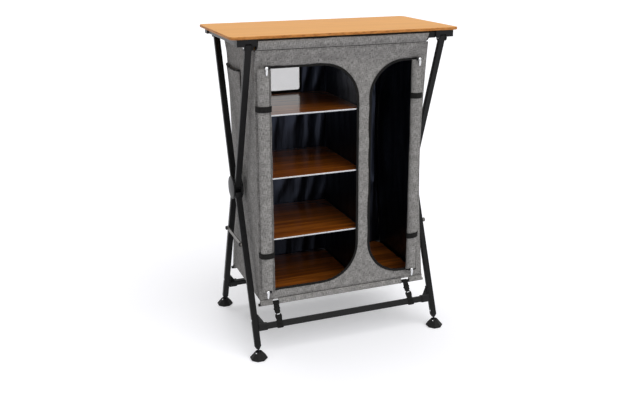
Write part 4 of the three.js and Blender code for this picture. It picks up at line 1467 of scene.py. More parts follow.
@dataclass
class FaceCloth:
    """The canvas of the front or the rear, with its rail sleeve and its hem."""

    end: End
    hem_turns: Span = (0.15, -1.15)
    sleeve_lead: float = 0.006
    sleeve_lead_share: float = 0.6
    sleeve_left: Span = (-0.357, -0.354)
    sleeve_right: Span = (0.320, 0.3345)
    nick: float = 0.006
    nick_depth: float = 0.009
    hem_over: float = 0.004
    notches: tuple[Span, Span] = ((-0.296, 0.026), (0.272, 0.036))
    notch_rise: float = 0.0150
    ripple: float = 0.0012
    ripple_length: float = 0.13
    droop: float = 0.0012
    droop_length: float = 0.16
    droop_share: float = 0.3
    calm_left: float = -0.28
    calm_right: float = 0.255
    calm_share: float = 0.3
    relief_edge: float = 0.012
    sleeve_share: float = 0.35
    cut: Span = (0.72, 1.18)

    def build(self) -> None:
        """Build the cloth in one piece, sleeve and hem included."""
        flat, triangles = cut_cloth(self.outline(), self.holes(), SEWING.step, self.seam_rows())
        points = self.placed(flat, self.relief(*flat.T))
        triangles = triangles[:, ::-1] if self.end is End.REAR else triangles
        word = self.end.word
        piece = add_cloth(
            f"{word}_canvas", points, triangles, flat, CANVAS, SEWING.canvas, f"{word}_panel"
        )
        declare(piece, self.cut)

    @cached_property
    def section(self) -> tuple[Array, Array, Array]:
        """The cloth's way up: height along the cloth, depth and real height.

        Below the hem seam and above the sleeve seam, the height along the cloth runs on
        with the cloth's own length.
        """
        middle = SHAPE.half_depth + SHAPE.cloth / 2
        angle = np.pi * np.linspace(*self.hem_turns, 22)
        ring = SHAPE.rod_loop * columns(np.cos(angle), np.sin(angle))
        seam = np.array([[middle, SHAPE.hem_seam_z]])
        hem = np.concatenate([seam, ring + [middle, SHAPE.rod_z], seam - [SHAPE.cloth, 0.0]])
        rise = np.linspace(SHAPE.hem_seam_z, SHAPE.sleeve_seam_z, 60)[1:]
        rows = self.seam_rows()
        rise = np.union1d(rise, rows[(rows > rise[0]) & (rows < rise[-1])])
        wall = columns(SHAPE.middle_y(rise), rise)
        sleeve = rounded(np.vstack([wall[-1:], self.sleeve_turns()]), 2)[1:]
        line = np.concatenate([hem[::-1], wall, sleeve])
        length = along(line)
        first, last = len(hem) - 1, len(hem) - 1 + len(wall)
        mark = line[:, 1].copy()
        mark[:first] = SHAPE.hem_seam_z - (length[first] - length[:first])
        mark[last + 1 :] = SHAPE.sleeve_seam_z + (length[last + 1 :] - length[last])
        return mark, line[:, 0], line[:, 1]

    def sleeve_turns(self) -> Array:
        """Return the points where the cloth turns on its way round the rail."""
        half = SHAPE.rail_half + SHAPE.cloth / 2
        low, high = SHAPE.rail_bottom_z, SHAPE.rail_top_z
        turns = [[half * self.sleeve_lead_share, low - self.sleeve_lead]]
        turns += [[half, low], [half, high], [-half, high], [-half, low]]
        turns += [[-SHAPE.cloth, SHAPE.sleeve_seam_z + SHAPE.cloth]]
        return np.array(turns) + [SHAPE.rail_y, 0.0]

    def seam_rows(self) -> Array:
        """Return the heights that the pressed seams need: their bottoms and their lips."""
        seams = np.array([[SHAPE.hem_seam_z], [SHAPE.sleeve_seam_z]])
        return (seams + SEWING.groove_half * np.array([-1.0, 0.0, 1.0])).ravel()

    def outline(self) -> Array:
        """Return the flat cut: X against the height along the cloth."""
        mark, _, height = self.section
        in_sleeve = mark > SHAPE.sleeve_seam_z + SHAPE.cloth
        share = (height - SHAPE.sleeve_seam_z) / (SHAPE.rail_top_z - SHAPE.sleeve_seam_z)
        share = np.clip(share, 0, 1)
        sleeves = (self.sleeve_left, self.sleeve_right)
        left, right = (
            np.where(in_sleeve, start + (stop - start) * share, SHAPE.edge_x(edge, height))
            for (start, stop), edge in zip(sleeves, SHAPE.edges(self.end))
        )
        if self.end is End.FRONT:
            nick = bell(mark - SHAPE.hem_seam_z - self.nick, self.nick)
            over = np.where(mark < SHAPE.hem_seam_z, self.hem_over, 0.0)
            right = right - self.nick_depth * nick + over
        return np.concatenate([columns(right, mark), columns(left, mark)[::-1]])

    def holes(self) -> list[Array]:
        """Return what is cut out: doors and strap notches in front, the window behind."""
        if self.end is End.REAR:
            return [WINDOW.outline()]
        return [door.outline() for door in DOORS] + self.strap_notches()

    def strap_notches(self) -> list[Array]:
        """Return the two notches in the front hem where the straps loop round the rod."""
        low = self.section[0][0] + self.hem_over
        high = SHAPE.rod_z + self.notch_rise
        notches = []
        for middle, width in self.notches:
            left, right = middle - width / 2, middle + width / 2
            notches.append(np.array([[left, low], [right, low], [right, high], [left, high]]))
        return notches

    def placed(self, flat: Array, height: Array | float) -> Array:
        """Put flat points of the cloth in space, pushed out by a height."""
        mark, depth, rise = self.section
        y = np.interp(flat[:, 1], mark, depth) + height
        return columns(flat[:, 0], self.end.value * y, np.interp(flat[:, 1], mark, rise))

    def relief(self, x: Array, z: Array) -> Array:
        """Return the cloth's relief: waves, the photograph's creases and the pressed seams."""
        sign = self.end.value
        height = self.ripple * soft_waves(x, z, 3 + sign, self.ripple_length)
        height += self.droop * soft_waves(x, self.droop_share * z, 17 + sign, self.droop_length)
        if self.end is End.FRONT:
            height += sum(crease.over(x, z) for crease in FRONT_CREASES)
            rolled = (x < self.calm_left) | (x > self.calm_right)
            height = np.where(rolled, self.calm_share * height, height)
        else:
            height = np.maximum(height, 0.0)
        edge = np.minimum(z - SHAPE.hem_seam_z, SHAPE.sleeve_seam_z - z) / self.relief_edge
        sleeve = np.where(z > SHAPE.sleeve_seam_z, self.sleeve_share, 0.0)
        strength = np.clip(edge, 0, 1) + sleeve * np.clip(-edge, 0, 1)
        seams = (SHAPE.hem_seam_z, SHAPE.sleeve_seam_z)
        pressed = SEWING.groove * sum(bell(z - seam, SEWING.groove_half) for seam in seams)
        return height * strength - pressed


@dataclass
class RearLining:
    """The lining of the rear, with its hanging folds."""

    above_floor: float = 0.002
    below_seam: float = 0.004
    inset: float = 0.003
    hem_of_window: float = 0.001
    gap: float = 0.0008
    fold_depth: float = 0.0046
    window_calm: float = 0.02
    window_calm_share: float = 0.92
    window_calm_reach: Span = (0.13, 0.053)
    edge_calm: float = 0.04
    calm_z: float = 1.18
    calm_rise: float = 0.05
    cut: Span = (0.74, 1.0)

    def build(self) -> None:
        """Build the lining, open at the window."""
        low = SHAPE.floor_z + self.above_floor
        rows = np.linspace(low, SHAPE.sleeve_seam_z - self.below_seam, 40)
        left = SHAPE.edge_x(SHAPE.rear_left, rows) + self.inset
        right = SHAPE.edge_x(SHAPE.rear_right, rows) - self.inset
        outline = np.concatenate([columns(right, rows), columns(left, rows)[::-1]])
        flat, triangles = cut_cloth(outline, [WINDOW.outline(-self.hem_of_window)], SEWING.step)
        x, z = flat.T
        height = self.relief(flat, left.min(), right.max())
        points = columns(x, SHAPE.cloth_y(z) - self.gap - height, z)
        piece = add_cloth(
            "rear_lining", points, triangles, flat, LINING, SEWING.lining, "rear_panel"
        )
        declare(piece, self.cut)

    def relief(self, flat: Array, left: float, right: float) -> Array:
        """Return the folds' height: calm at the edges, round the window and at the top."""
        x, z = flat.T
        off = np.maximum(0, abs(flat - WINDOW.middle) - self.window_calm_reach)
        at_window = bell(np.hypot(*off.T), self.window_calm)
        edge = np.minimum(x - left, right - x) / self.edge_calm
        calm = np.clip(edge, 0, 1) * (1 - self.window_calm_share * at_window)
        height = self.fold_depth * FOLDS.over(x, z, 5) * calm
        height += sum(fold.over(x, z) for fold in CORNER_FOLDS)
        return height * np.clip((self.calm_z - z) / self.calm_rise, 0, 1)


def calm_sheet(u: Array, v: Array, share: float) -> Array:
    """Return how free a sheet is: not at all at its ends, and wholly at a share from them."""
    return np.sin(np.pi * u) ** 0.5 * np.clip(np.minimum(v, 1 - v) / share, 0, 1)


@dataclass
class Flank:
    """One side of the cabinet: canvas outside and lining inside."""

    side: Side
    relief: float = 0.0022
    relief_length: float = 0.20
    relief_most: float = 0.004
    calm_share: float = 0.12
    lining_gap: float = 0.0009
    lining_inset_share: float = 0.004
    cut: Span = (0.46, 0.99)

    def build(self) -> None:
        """Build both sheets between the two face cloths."""
        sign, word = self.side.value, self.side.word
        v, u = lattice(110, 46)
        z = SHAPE.hem_seam_z + (SHAPE.sleeve_seam_z - SHAPE.hem_seam_z) * v
        reach = SHAPE.cloth_y(z) - LAYOUT.gap
        y = -reach + 2 * reach * u
        outer = SHAPE.flank_x(self.side, u, z)
        calm = calm_sheet(u, v, self.calm_share)
        relief = self.relief * soft_waves(y, z, 11 + sign, self.relief_length) * calm
        relief += sum(crease.over(y, z) for crease in FLANK_CREASES) * calm
        skin = outer + sign * (np.minimum(relief, self.relief_most) - SEWING.canvas / 2)
        node, flip = f"{word}_panel", self.side is Side.RIGHT
        surface = (skin, y, z)
        name = f"{word}_canvas"
        canvas = add_grid(name, surface, (y, z), CANVAS, SEWING.canvas, node, flip)
        declare(canvas, self.cut)
        folds = SEWING.side_folds * FOLDS.over(y, z, 8 + sign) * calm
        skin = outer + sign * (np.minimum(relief, 0) - SEWING.canvas - self.lining_gap - folds)
        surface = (skin, y * (1 - self.lining_inset_share), z)
        lining = add_grid(
            f"{word}_lining", surface, (y, z), LINING, SEWING.lining, node, flip
        )
        declare(lining, self.cut)


@dataclass
class Levels:
    """The roof, the floor and the three slings that carry the shelves."""

    inset: float = 0.0035
    floor_inset: float = 0.0018
    sling_over: float = 0.004
    sling_room: float = 0.001
    sling_behind: float = 0.0005

    def build(self) -> None:
        """Build the five sheets."""
        for name, inset in (("roof", self.inset), ("floor", self.floor_inset)):
            low, high = node_box(f"{name}_panel")
            low[0], high[0] = -LAYOUT.half_width, LAYOUT.half_width
            self.level(f"{name}_lining", low, high, f"{name}_panel", inset)
        for name in ("top", "middle", "bottom"):
            low, high = node_box(f"{name}_shelf")
            high[2] = low[2] - LAYOUT.gap
            low += [-self.sling_over, self.sling_room, -LAYOUT.gap - SHAPE.cloth]
            high[0] = SHAPE.divider_x - self.sling_room
            high[1] += self.sling_behind
            self.level(f"{name}_sling", low, high, "inner_liner", self.inset)

    def level(self, name: str, low: Array, high: Array, node: str, inset: float) -> None:
        """Build one level sheet that follows the flanks."""
        v, u = lattice(24, 40)
        y = low[1] + (high[1] - low[1]) * v
        z = (low[2] + high[2]) / 2
        share = SHAPE.depth_share(y, z)
        left = np.maximum(SHAPE.flank_x(Side.LEFT, share, z) + inset, low[0])
        right = np.minimum(SHAPE.flank_x(Side.RIGHT, share, z) - inset, high[0])
        x = left + (right - left) * u
        piece = add_grid(name, (x, y, z), (x, y), LINING, SHAPE.cloth, node)
        flat = (float(x.max() - x.min()), float(y.max() - y.min()))
        declare(piece, flat)


@dataclass
class Divider:
    """The lining between the two bays, with folds on the tall bay's side only."""

    off: float = 0.0010
    calm_share: float = 0.03
    cut: Span = (0.405, 0.98)

    def build(self) -> None:
        """Build the divider over the whole of its node."""
        low, high = node_box("inner_liner")
        v, u = lattice(110, 44)
        y = low[1] + (high[1] - low[1]) * u
        z = low[2] + (high[2] - low[2]) * v
        calm = calm_sheet(u, v, self.calm_share)
        x = SHAPE.divider_x + self.off + SEWING.side_folds * FOLDS.over(y, z, 2) * calm
        name, node = "divider_lining", "inner_liner"
        piece = add_grid(name, (x, y, z), (y, z), LINING, SEWING.lining, node, flip=True)
        declare(piece, self.cut)


@dataclass
class Seams:
    """The piping, the black tape at the sleeve's open ends as painted shadow, the seam lines and
    the stitches of one face.
    """

    face: FaceCloth
    piping: Profile = Profile(0.0024, 0.0024, 8)
    piping_inset: float = 0.00024
    # The black tape at the sleeve's open ends: painted shadow
    binding: Profile = Profile(0.0055, 0.0020, 10, 4.0)
    binding_from: float = 0.004
    binding_step: float = 0.002
    seam: Profile = Profile(0.0026, 0.0026, 8)
    stitch: float = 0.0005
    stitch_length: float = 0.0034
    stitch_gap: float = 0.0016
    stitch_end_share: float = 0.5
    off_seam: float = 0.006
    lift: float = 0.0004
    end_room: float = 0.002

    def build(self) -> None:
        """Lay the trims in the order in which they are sewn."""
        seams = (("sleeve", SHAPE.sleeve_seam_z, -1), ("hem", SHAPE.hem_seam_z, 1))
        self.corner_piping()
        # Black tape at the sleeve's ends: painted shadow of its inside
        self.sleeve_bindings()
        for label, z, _ in seams:
            # A dark thread cord in the bottom of each pressed seam's groove: partly the seam's
            # thread, partly painted shade of the crease
            depth = SHAPE.middle_y(z) - SEWING.groove + self.seam.wide / 2
            path = self.level_path(z, depth, 0.0, 80)
            sweep(f"{self.face.end.word}_{label}_seam", self.seam, path, UP, THREAD_AND_PAINTED_SHADE)
        for label, z, sign in seams:
            z = z + sign * self.off_seam
            path = self.level_path(z, SHAPE.middle_y(z) + self.lift, self.end_room, 220)
            self.stitches(f"{self.face.end.word}_{label}_stitches", path)

    def level_path(self, z: float, depth: float, room: float, count: int) -> Array:
        """Return a level path across the face, with some room at its ends."""
        left, right = (SHAPE.edge_x(edge, z) for edge in SHAPE.edges(self.face.end))
        x = np.linspace(left + room, right - room, count)
        return columns(x, self.face.end.value * depth, z)

    def corner_piping(self) -> None:
        """Run the piping up the face's two upright edges."""
        rise = np.linspace(SHAPE.hem_seam_z, SHAPE.sleeve_seam_z, 120)
        end = self.face.end
        for side, edge in zip(Side, SHAPE.edges(end)):
            x = SHAPE.edge_x(edge, rise) - side.value * self.piping_inset
            path = columns(x, end.value * SHAPE.middle_y(rise), rise)
            sweep(f"{end.word}_{side.word}_piping", self.piping, path, ACROSS, CANVAS)

    def sleeve_bindings(self) -> None:
        """Lay black tape round the rail at the sleeve's two open ends: painted shadow of the
        sleeve's dark inside.
        """
        right, left = np.split(self.face.outline(), 2)
        for side, edge in zip(Side, (left[::-1], right)):
            sleeve = edge[edge[:, 1] > SHAPE.sleeve_seam_z + self.binding_from]
            path = respaced(self.face.placed(sleeve, 0.0), self.binding_step)
            name = f"{self.face.end.word}_{side.word}_sleeve_binding"
            sweep(name, self.binding, path, ACROSS, TAPE_AND_PAINTED_SHADOW)

    def stitches(self, name: str, path: Array) -> None:
        """Set a row of short stitches along a path, each a flat bead of eight faces."""
        length = self.stitch_length
        bead = np.array([[-1, 0], [0, 1], [1, 0], [0, -1]]) * self.stitch
        ends = (self.stitch_end_share, 1.0, self.stitch_end_share)
        shapes = []
        for start in np.arange(0, along(path)[-1] - length, length + self.stitch_gap):
            run = at_distance(path, start + np.array([0.0, length / 2, length]))
            shapes.append(carried(bead, run, UP, scale=ends)[:2])
        points, faces = stacked(shapes)
        add_piece(name, points, faces, FRAME, THREAD_AND_PAINTED_SHADE, points[:, [0, 2]])


@dataclass
class RearWindow:
    """The mesh in the rear window, with its binding on the outside and inside."""

    step: float = 0.010
    under: float = 0.004
    sag: float = 0.0004
    thickness: float = 0.0004
    cut: Span = (0.268, 0.115)
    binding: Profile = Profile(0.010, 0.0016, 12, 4.0)
    binding_out: float = 0.003
    outer_y: float = 0.2052
    inner_y: float = 0.2012

    def build(self) -> None:
        """Build the mesh and the two bindings."""
        flat, triangles = cut_cloth(WINDOW.outline(self.under), [], self.step)
        x, z = flat.T
        share = (x - WINDOW.left) / (WINDOW.right - WINDOW.left)
        points = columns(x, SHAPE.middle_y(z) - self.sag * np.sin(np.pi * share), z)
        cloth = (points, triangles, flat, MeshCloth(), self.thickness)
        mesh = add_cloth("window_mesh", *cloth, node=None)
        declare(mesh, self.cut)
        loop = WINDOW.outline(self.binding_out)
        for label, y in (("outer", self.outer_y), ("inner", self.inner_y)):
            path = columns(loop[:, 0], y, loop[:, 1])
            name = f"window_{label}_binding"
            sweep(name, self.binding, path, path - path.mean(0), TAPE_AND_PAINTED_SHADOW, closed=True)


@dataclass
class Cabinet:
    """The sewn cabinet, from its parts."""

    def build(self) -> None:
        """Build the face cloths and what hangs between them, then the trims."""
        faces = [FaceCloth(end) for end in End]
        flanks = [Flank(side) for side in Side]
        seams = [Seams(face) for face in faces]
        for part in (*faces, RearLining(), *flanks, Levels(), Divider(), *seams, RearWindow()):
            part.build()


# The doors


@dataclass
class ZipTape:
    """The tape round a door opening, with the zip's coil along its inside."""

    door: Door
    tape: Profile = Profile(0.0085, 0.0016, 14, 4.0)
    tape_over: float = 0.001
    step: float = 0.004
    coil: Profile = Profile(0.0034, 0.0034, 6)
    coil_dip: float = 0.0006
    coil_pitch: float = 0.0030
    coil_over: float = 0.0005
    points_a_turn: int = 4

    def inset(self, distance: float) -> Array:
        """Return the opening's outline moved inwards."""
        door = self.door
        ring = closed_ring(door.outline(), self.step)
        tangent = unit(np.roll(ring, -1, axis=0) - np.roll(ring, 1, axis=0))
        normal = columns(tangent[:, 1], -tangent[:, 0])
        centre = np.array([door.straight_x + door.round_x, door.top + door.bottom]) / 2
        towards = np.sign(((centre - ring) * normal).sum(1))
        return ring + normal * np.sign(towards.sum()) * distance

    def build(self) -> None:
        """Run the tape and the coil round the opening."""
        word, y = self.door.side.word, self.door.trim_y
        ring = self.inset(self.tape.wide / 2 - self.tape_over)
        inward = self.inset(self.tape.wide) - ring
        path = columns(ring[:, 0], y, ring[:, 1])
        direction = columns(inward[:, 0], 0.0, inward[:, 1])
        sweep(f"{word}_zip_tape", self.tape, path, direction, TAPE_AND_PAINTED_SHADOW, closed=True)
        spacing = self.coil_pitch / self.points_a_turn
        ring = closed_ring(self.inset(self.tape.wide - self.coil_over), spacing)
        path = columns(ring[:, 0], y, ring[:, 1])
        phase = 2 * np.pi * np.arange(len(ring)) / self.points_a_turn
        size = 1 - self.coil_dip / self.coil.wide * (1 - np.cos(phase))
        sweep(f"{word}_zip_coil", self.coil, path, BACK, TAPE_AND_PAINTED_SHADOW, closed=True, scale=size)


@dataclass
class RolledDoor:
    """The door's cloth, rolled up beside its opening."""

    door: Door
    cloth: float = 0.0011
    turn_gap: float = 0.0022
    turn_width: float = 0.11
    first_turn_share: float = 0.15
    squareness: float = 0.86
    pinch_width: float = 0.022
    bulge: float = 0.0009
    bulge_most: float = 0.0004
    bulge_length: float = 0.13
    bulge_share: float = 0.02
    fold_width: float = 0.09
    fold_depth: float = 0.0016

    def build(self) -> None:
        """Build an oval spiral whose turns lie a little apart, pinched at the bands."""
        door, roll, sign = self.door, self.door.roll, self.door.side.value
        v, u = lattice(120, 130)
        length = door.roll_high - door.roll_low
        z = door.roll_low + length * v
        angle = sign * (self.first_turn_share * np.pi - 2 * np.pi * door.turns * u)
        inset = self.turn_gap * door.turns * u + self.cloth / 2
        pinch = sum(bell(z - band, self.pinch_width) for band in door.bands)
        waves = soft_waves(z, self.bulge_share * angle, 21 + sign, self.bulge_length)
        bulge = np.minimum(self.bulge * waves - self.bulge * pinch, self.bulge_most) * (1 - u)
        wide = roll.half_wide - inset + bulge
        deep = roll.half_deep - inset + np.minimum(bulge, 0)
        x = roll.x + wide * signed_power(np.cos(angle), self.squareness)
        y = roll.y + deep * signed_power(np.sin(angle), self.squareness)
        y = y + self.fold_depth * bell(angle + sign * np.pi / 2, self.fold_width)
        flat = (u * door.turns * self.turn_width, z)
        word = door.side.word
        piece = add_grid(
            f"{word}_rolled_door", (x, y, z), flat, CANVAS, self.cloth, f"{word}_door_roll"
        )
        declare_strip(piece, length)


@dataclass
class ElasticBand:
    """An elastic band round a rolled door, sewn to the cloth beside it."""

    door: Door
    label: str
    z: float
    band: Profile = Profile(0.022, 0.0013, 16, 6.0)
    turns: Span = (1.02, 1.98)
    over: float = 0.00095
    on_face: float = 0.0011
    lead: float = 0.0035
    tail: float = 0.006
    tuck: float = 0.001
    behind: float = 0.004

    def build(self) -> None:
        """Carry the band round the roll, from its sewn end to the end behind the roll."""
        door, roll = self.door, self.door.roll
        x, y = roll.at(np.pi * np.linspace(*self.turns, 40), self.over)
        sewn_y, tucked_y = door.trim_y - self.on_face, roll.y + self.behind
        if door.side is Side.LEFT:
            lead = [door.roll_from - self.lead, sewn_y]
            tail = [x[-1] - self.tuck, tucked_y]
        else:
            lead = [x[0] + self.tuck, tucked_y]
            tail = [x[-1] + self.tail, sewn_y]
        x, y = np.concatenate([[lead], columns(x, y), [tail]]).T
        sag = door.band_sag if self.label == "lower" else 0.0
        path = columns(x, y, self.z + sag * (x - roll.x) / roll.half_wide)
        sweep(f"{door.side.word}_{self.label}_band", self.band, path, UP, TAPE_AND_PAINTED_SHADOW)


@dataclass
class ZipSlider:
    """A zip slider with its hanging puller, and the zip's stop beside it."""

    door: Door
    label: str
    place: Span
    off: float = 0.001
    head: Profile = Profile(0.0125, 0.0060, 16, 4.0)
    head_rises: Row = (0.0070, 0.0055, 0.0035, -0.0010, -0.0050, -0.0062)
    head_shares: Row = (0.55, 0.9, 1.0, 0.85, 0.7, 0.4)
    puller: Profile = Profile(0.0085, 0.0018, 14, 5.0)
    puller_path: tuple[Triple, ...] = (
        (0.0, -0.0034, 0.003),
        (0.0, -0.0046, -0.004),
        (-0.001, -0.0044, -0.014),
        (-0.001, -0.0040, -0.0235),
    )
    puller_step: float = 0.001
    puller_neck_share: float = 0.62
    puller_shape: Span = (1.15, 0.6)
    stop: Profile = Profile(0.0090, 0.0050, 16, 3.0)
    stop_path: tuple[Span, Span] = ((0.005, 0.0035), (0.014, 0.0015))
    stop_step: float = 0.0015

    def build(self) -> None:
        """Build the slider and its puller as one piece, and the stop as another."""
        side, (x, z) = self.door.side, self.place
        name = f"{side.word}_{self.label}_zip"
        y = self.door.roll.y - self.door.roll.half_deep - self.off
        path = columns(x, y, z + np.array(self.head_rises))
        head = carried(self.head.outline(), path, ACROSS, scale=self.head_shares)
        path = respaced(rounded(np.array(self.puller_path) + [x, y, z], 2), self.puller_step)
        reach, power = self.puller_shape
        swell = np.sin(np.pi * np.clip(np.linspace(0, 1, len(path)) * reach, 0, 1)) ** power
        size = self.puller_neck_share + (1 - self.puller_neck_share) * swell
        puller = carried(self.puller.outline(), path, ACROSS, scale=size)
        add_piece(f"{name}_slider", *stacked([head[:2], puller[:2]]), FRAME, NICKEL_AND_PAINTED_HIGHLIGHT)
        stop = [[x - side.value * off, y, z + rise] for off, rise in self.stop_path]
        sweep(f"{name}_stop", self.stop, respaced(np.array(stop), self.stop_step), UP, ABS)


@dataclass
class DoorTrim:
    """The zips, the rolled doors, their bands, and the tape on the right roll."""

    roll_seam: Profile = Profile(0.0014, 0.0014, 8)
    seam_angle: float = 0.75 - math.pi / 2
    roll_end: Profile = Profile(0.0055, 0.0013, 12, 5.0)
    end_turns: Span = (1.04, 1.80)

    def build(self) -> None:
        """Build both doors, and the tape round the lower end of the right one."""
        for door in DOORS:
            ZipTape(door).build()
            RolledDoor(door).build()
            for label, z, pull in zip(("upper", "lower"), door.bands, door.pulls):
                ElasticBand(door, label, z).build()
                ZipSlider(door, label, pull).build()
            x, y = door.roll.at(self.seam_angle)
            path = columns(x, y, np.linspace(door.roll_low, door.roll_high, 90))
            sweep(f"{door.side.word}_roll_seam", self.roll_seam, path, ACROSS, THREAD_AND_PAINTED_SHADE)
        x, y = RIGHT_DOOR.roll.at(np.pi * np.linspace(*self.end_turns, 30))
        path = columns(x, y, RIGHT_DOOR.roll_low + self.roll_end.wide / 2)
        sweep("right_roll_end", self.roll_end, path, UP, TAPE_AND_PAINTED_SHADOW)


# The pocket, the boards and the straps


@dataclass
class SidePocket:
    """The pocket on the rear half of the left side, open at the top."""

    top: float = 1.095
    bottom: float = 0.780
    front_y: float = -0.003
    rear_y: float = 0.197
    off: float = 0.0016
    bulge: float = 0.012
    droop: float = 0.004
    wave: float = 0.0010
    waves: float = 4.5
    cloth: float = 0.0011
    elastic: Profile = Profile(0.0075, 0.0026, 14, 4.0)
    # A dark cord down the top fifth of the front edge only: painted shadow near the mouth
    seam: Profile = Profile(0.0026, 0.002, 8)
    seam_off: float = 0.0006
    seam_from_share: float = 0.8

    def surface(self, u: Array, v: Array) -> tuple[Array, Array, Array]:
        """Return the pocket's points: sewn down below and at the ends, open at the top."""
        y = self.front_y + (self.rear_y - self.front_y) * u
        z = self.bottom + (self.top - self.bottom) * v
        outer = SHAPE.flank_x(Side.LEFT, SHAPE.depth_share(y, z), z)
        open_share = np.sqrt(np.clip(1 - (2 * u - 1) ** 4, 0, 1)) * v**3
        wave = self.wave * np.sin(2 * np.pi * self.waves * u) * v**6
        droop = self.droop * np.sin(np.pi * u) * v**4
        return outer - self.off - self.bulge * open_share - wave, y, z - droop

    def build(self) -> None:
        """Build the pocket's cloth, the elastic along its mouth, and a dark cord down the top of
        its front edge: painted shadow.
        """
        v, u = lattice(60, 44)
        x, y, z = self.surface(u, v)
        piece = add_grid(
            "left_side_pocket", (x, y, z), (y, z), CANVAS, self.cloth, "side_pocket"
        )
        declare_strip(piece, self.top - self.bottom)
        x, y, z = self.surface(np.linspace(0, 1, 60), np.ones(60))
        sweep("pocket_elastic", self.elastic, columns(x, y, z - self.elastic.deep), UP, TAPE_AND_PAINTED_SHADOW)
        # Painted shadow: a dark cord down the top of the front edge
        x, y, z = self.surface(np.zeros(60), np.linspace(self.seam_from_share, 1, 60))
        sweep("pocket_front_seam", self.seam, columns(x - self.seam_off, y, z), BACK, THREAD_AND_PAINTED_SHADE)


@dataclass
class Boards:
    """The walnut shelves and floor boards, with the pale edging of the shelves."""

    nodes: dict[str, Piece]
    edge: float = 0.0005
    strip_deep: float = 0.0016
    strip_in: float = 0.0002
    strip_over: float = 0.0004
    lining_edge: Profile = Profile(0.0024, 0.0024, 8)
    lining_out: float = 0.003
    lining_step: float = 0.004

    def build(self) -> None:
        """Round the boards' edges, edge the shelves and lay a pale cord along their rear and right
        edges.
        """
        walnut = WalnutLaminate()
        for name in ("left_floor_board", "right_floor_board"):
            softened(self.nodes[name], walnut, self.edge)
        for name in ("top_shelf", "middle_shelf", "bottom_shelf"):
            softened(self.nodes[name], walnut, self.edge)
            low, high = node_box(name)
            y = low[1] - self.strip_deep / 2 + self.strip_in
            path = columns([low[0], high[0]], y, (low[2] + high[2]) / 2)
            strip = Profile(high[2] - low[2] + self.strip_over, self.strip_deep, 20, 5.0)
            sweep(f"{name}_edging", strip, path, UP, EDGING, name)
            rear, right = high[1] + self.lining_edge.deep, high[0] + self.lining_out
            path = columns([low[0], right, right], [rear, rear, low[1]], high[2])
            path = respaced(rounded(path, 3), self.lining_step)
            sweep(f"{name}_lining_edge", self.lining_edge, path, UP, LINING_EDGE)


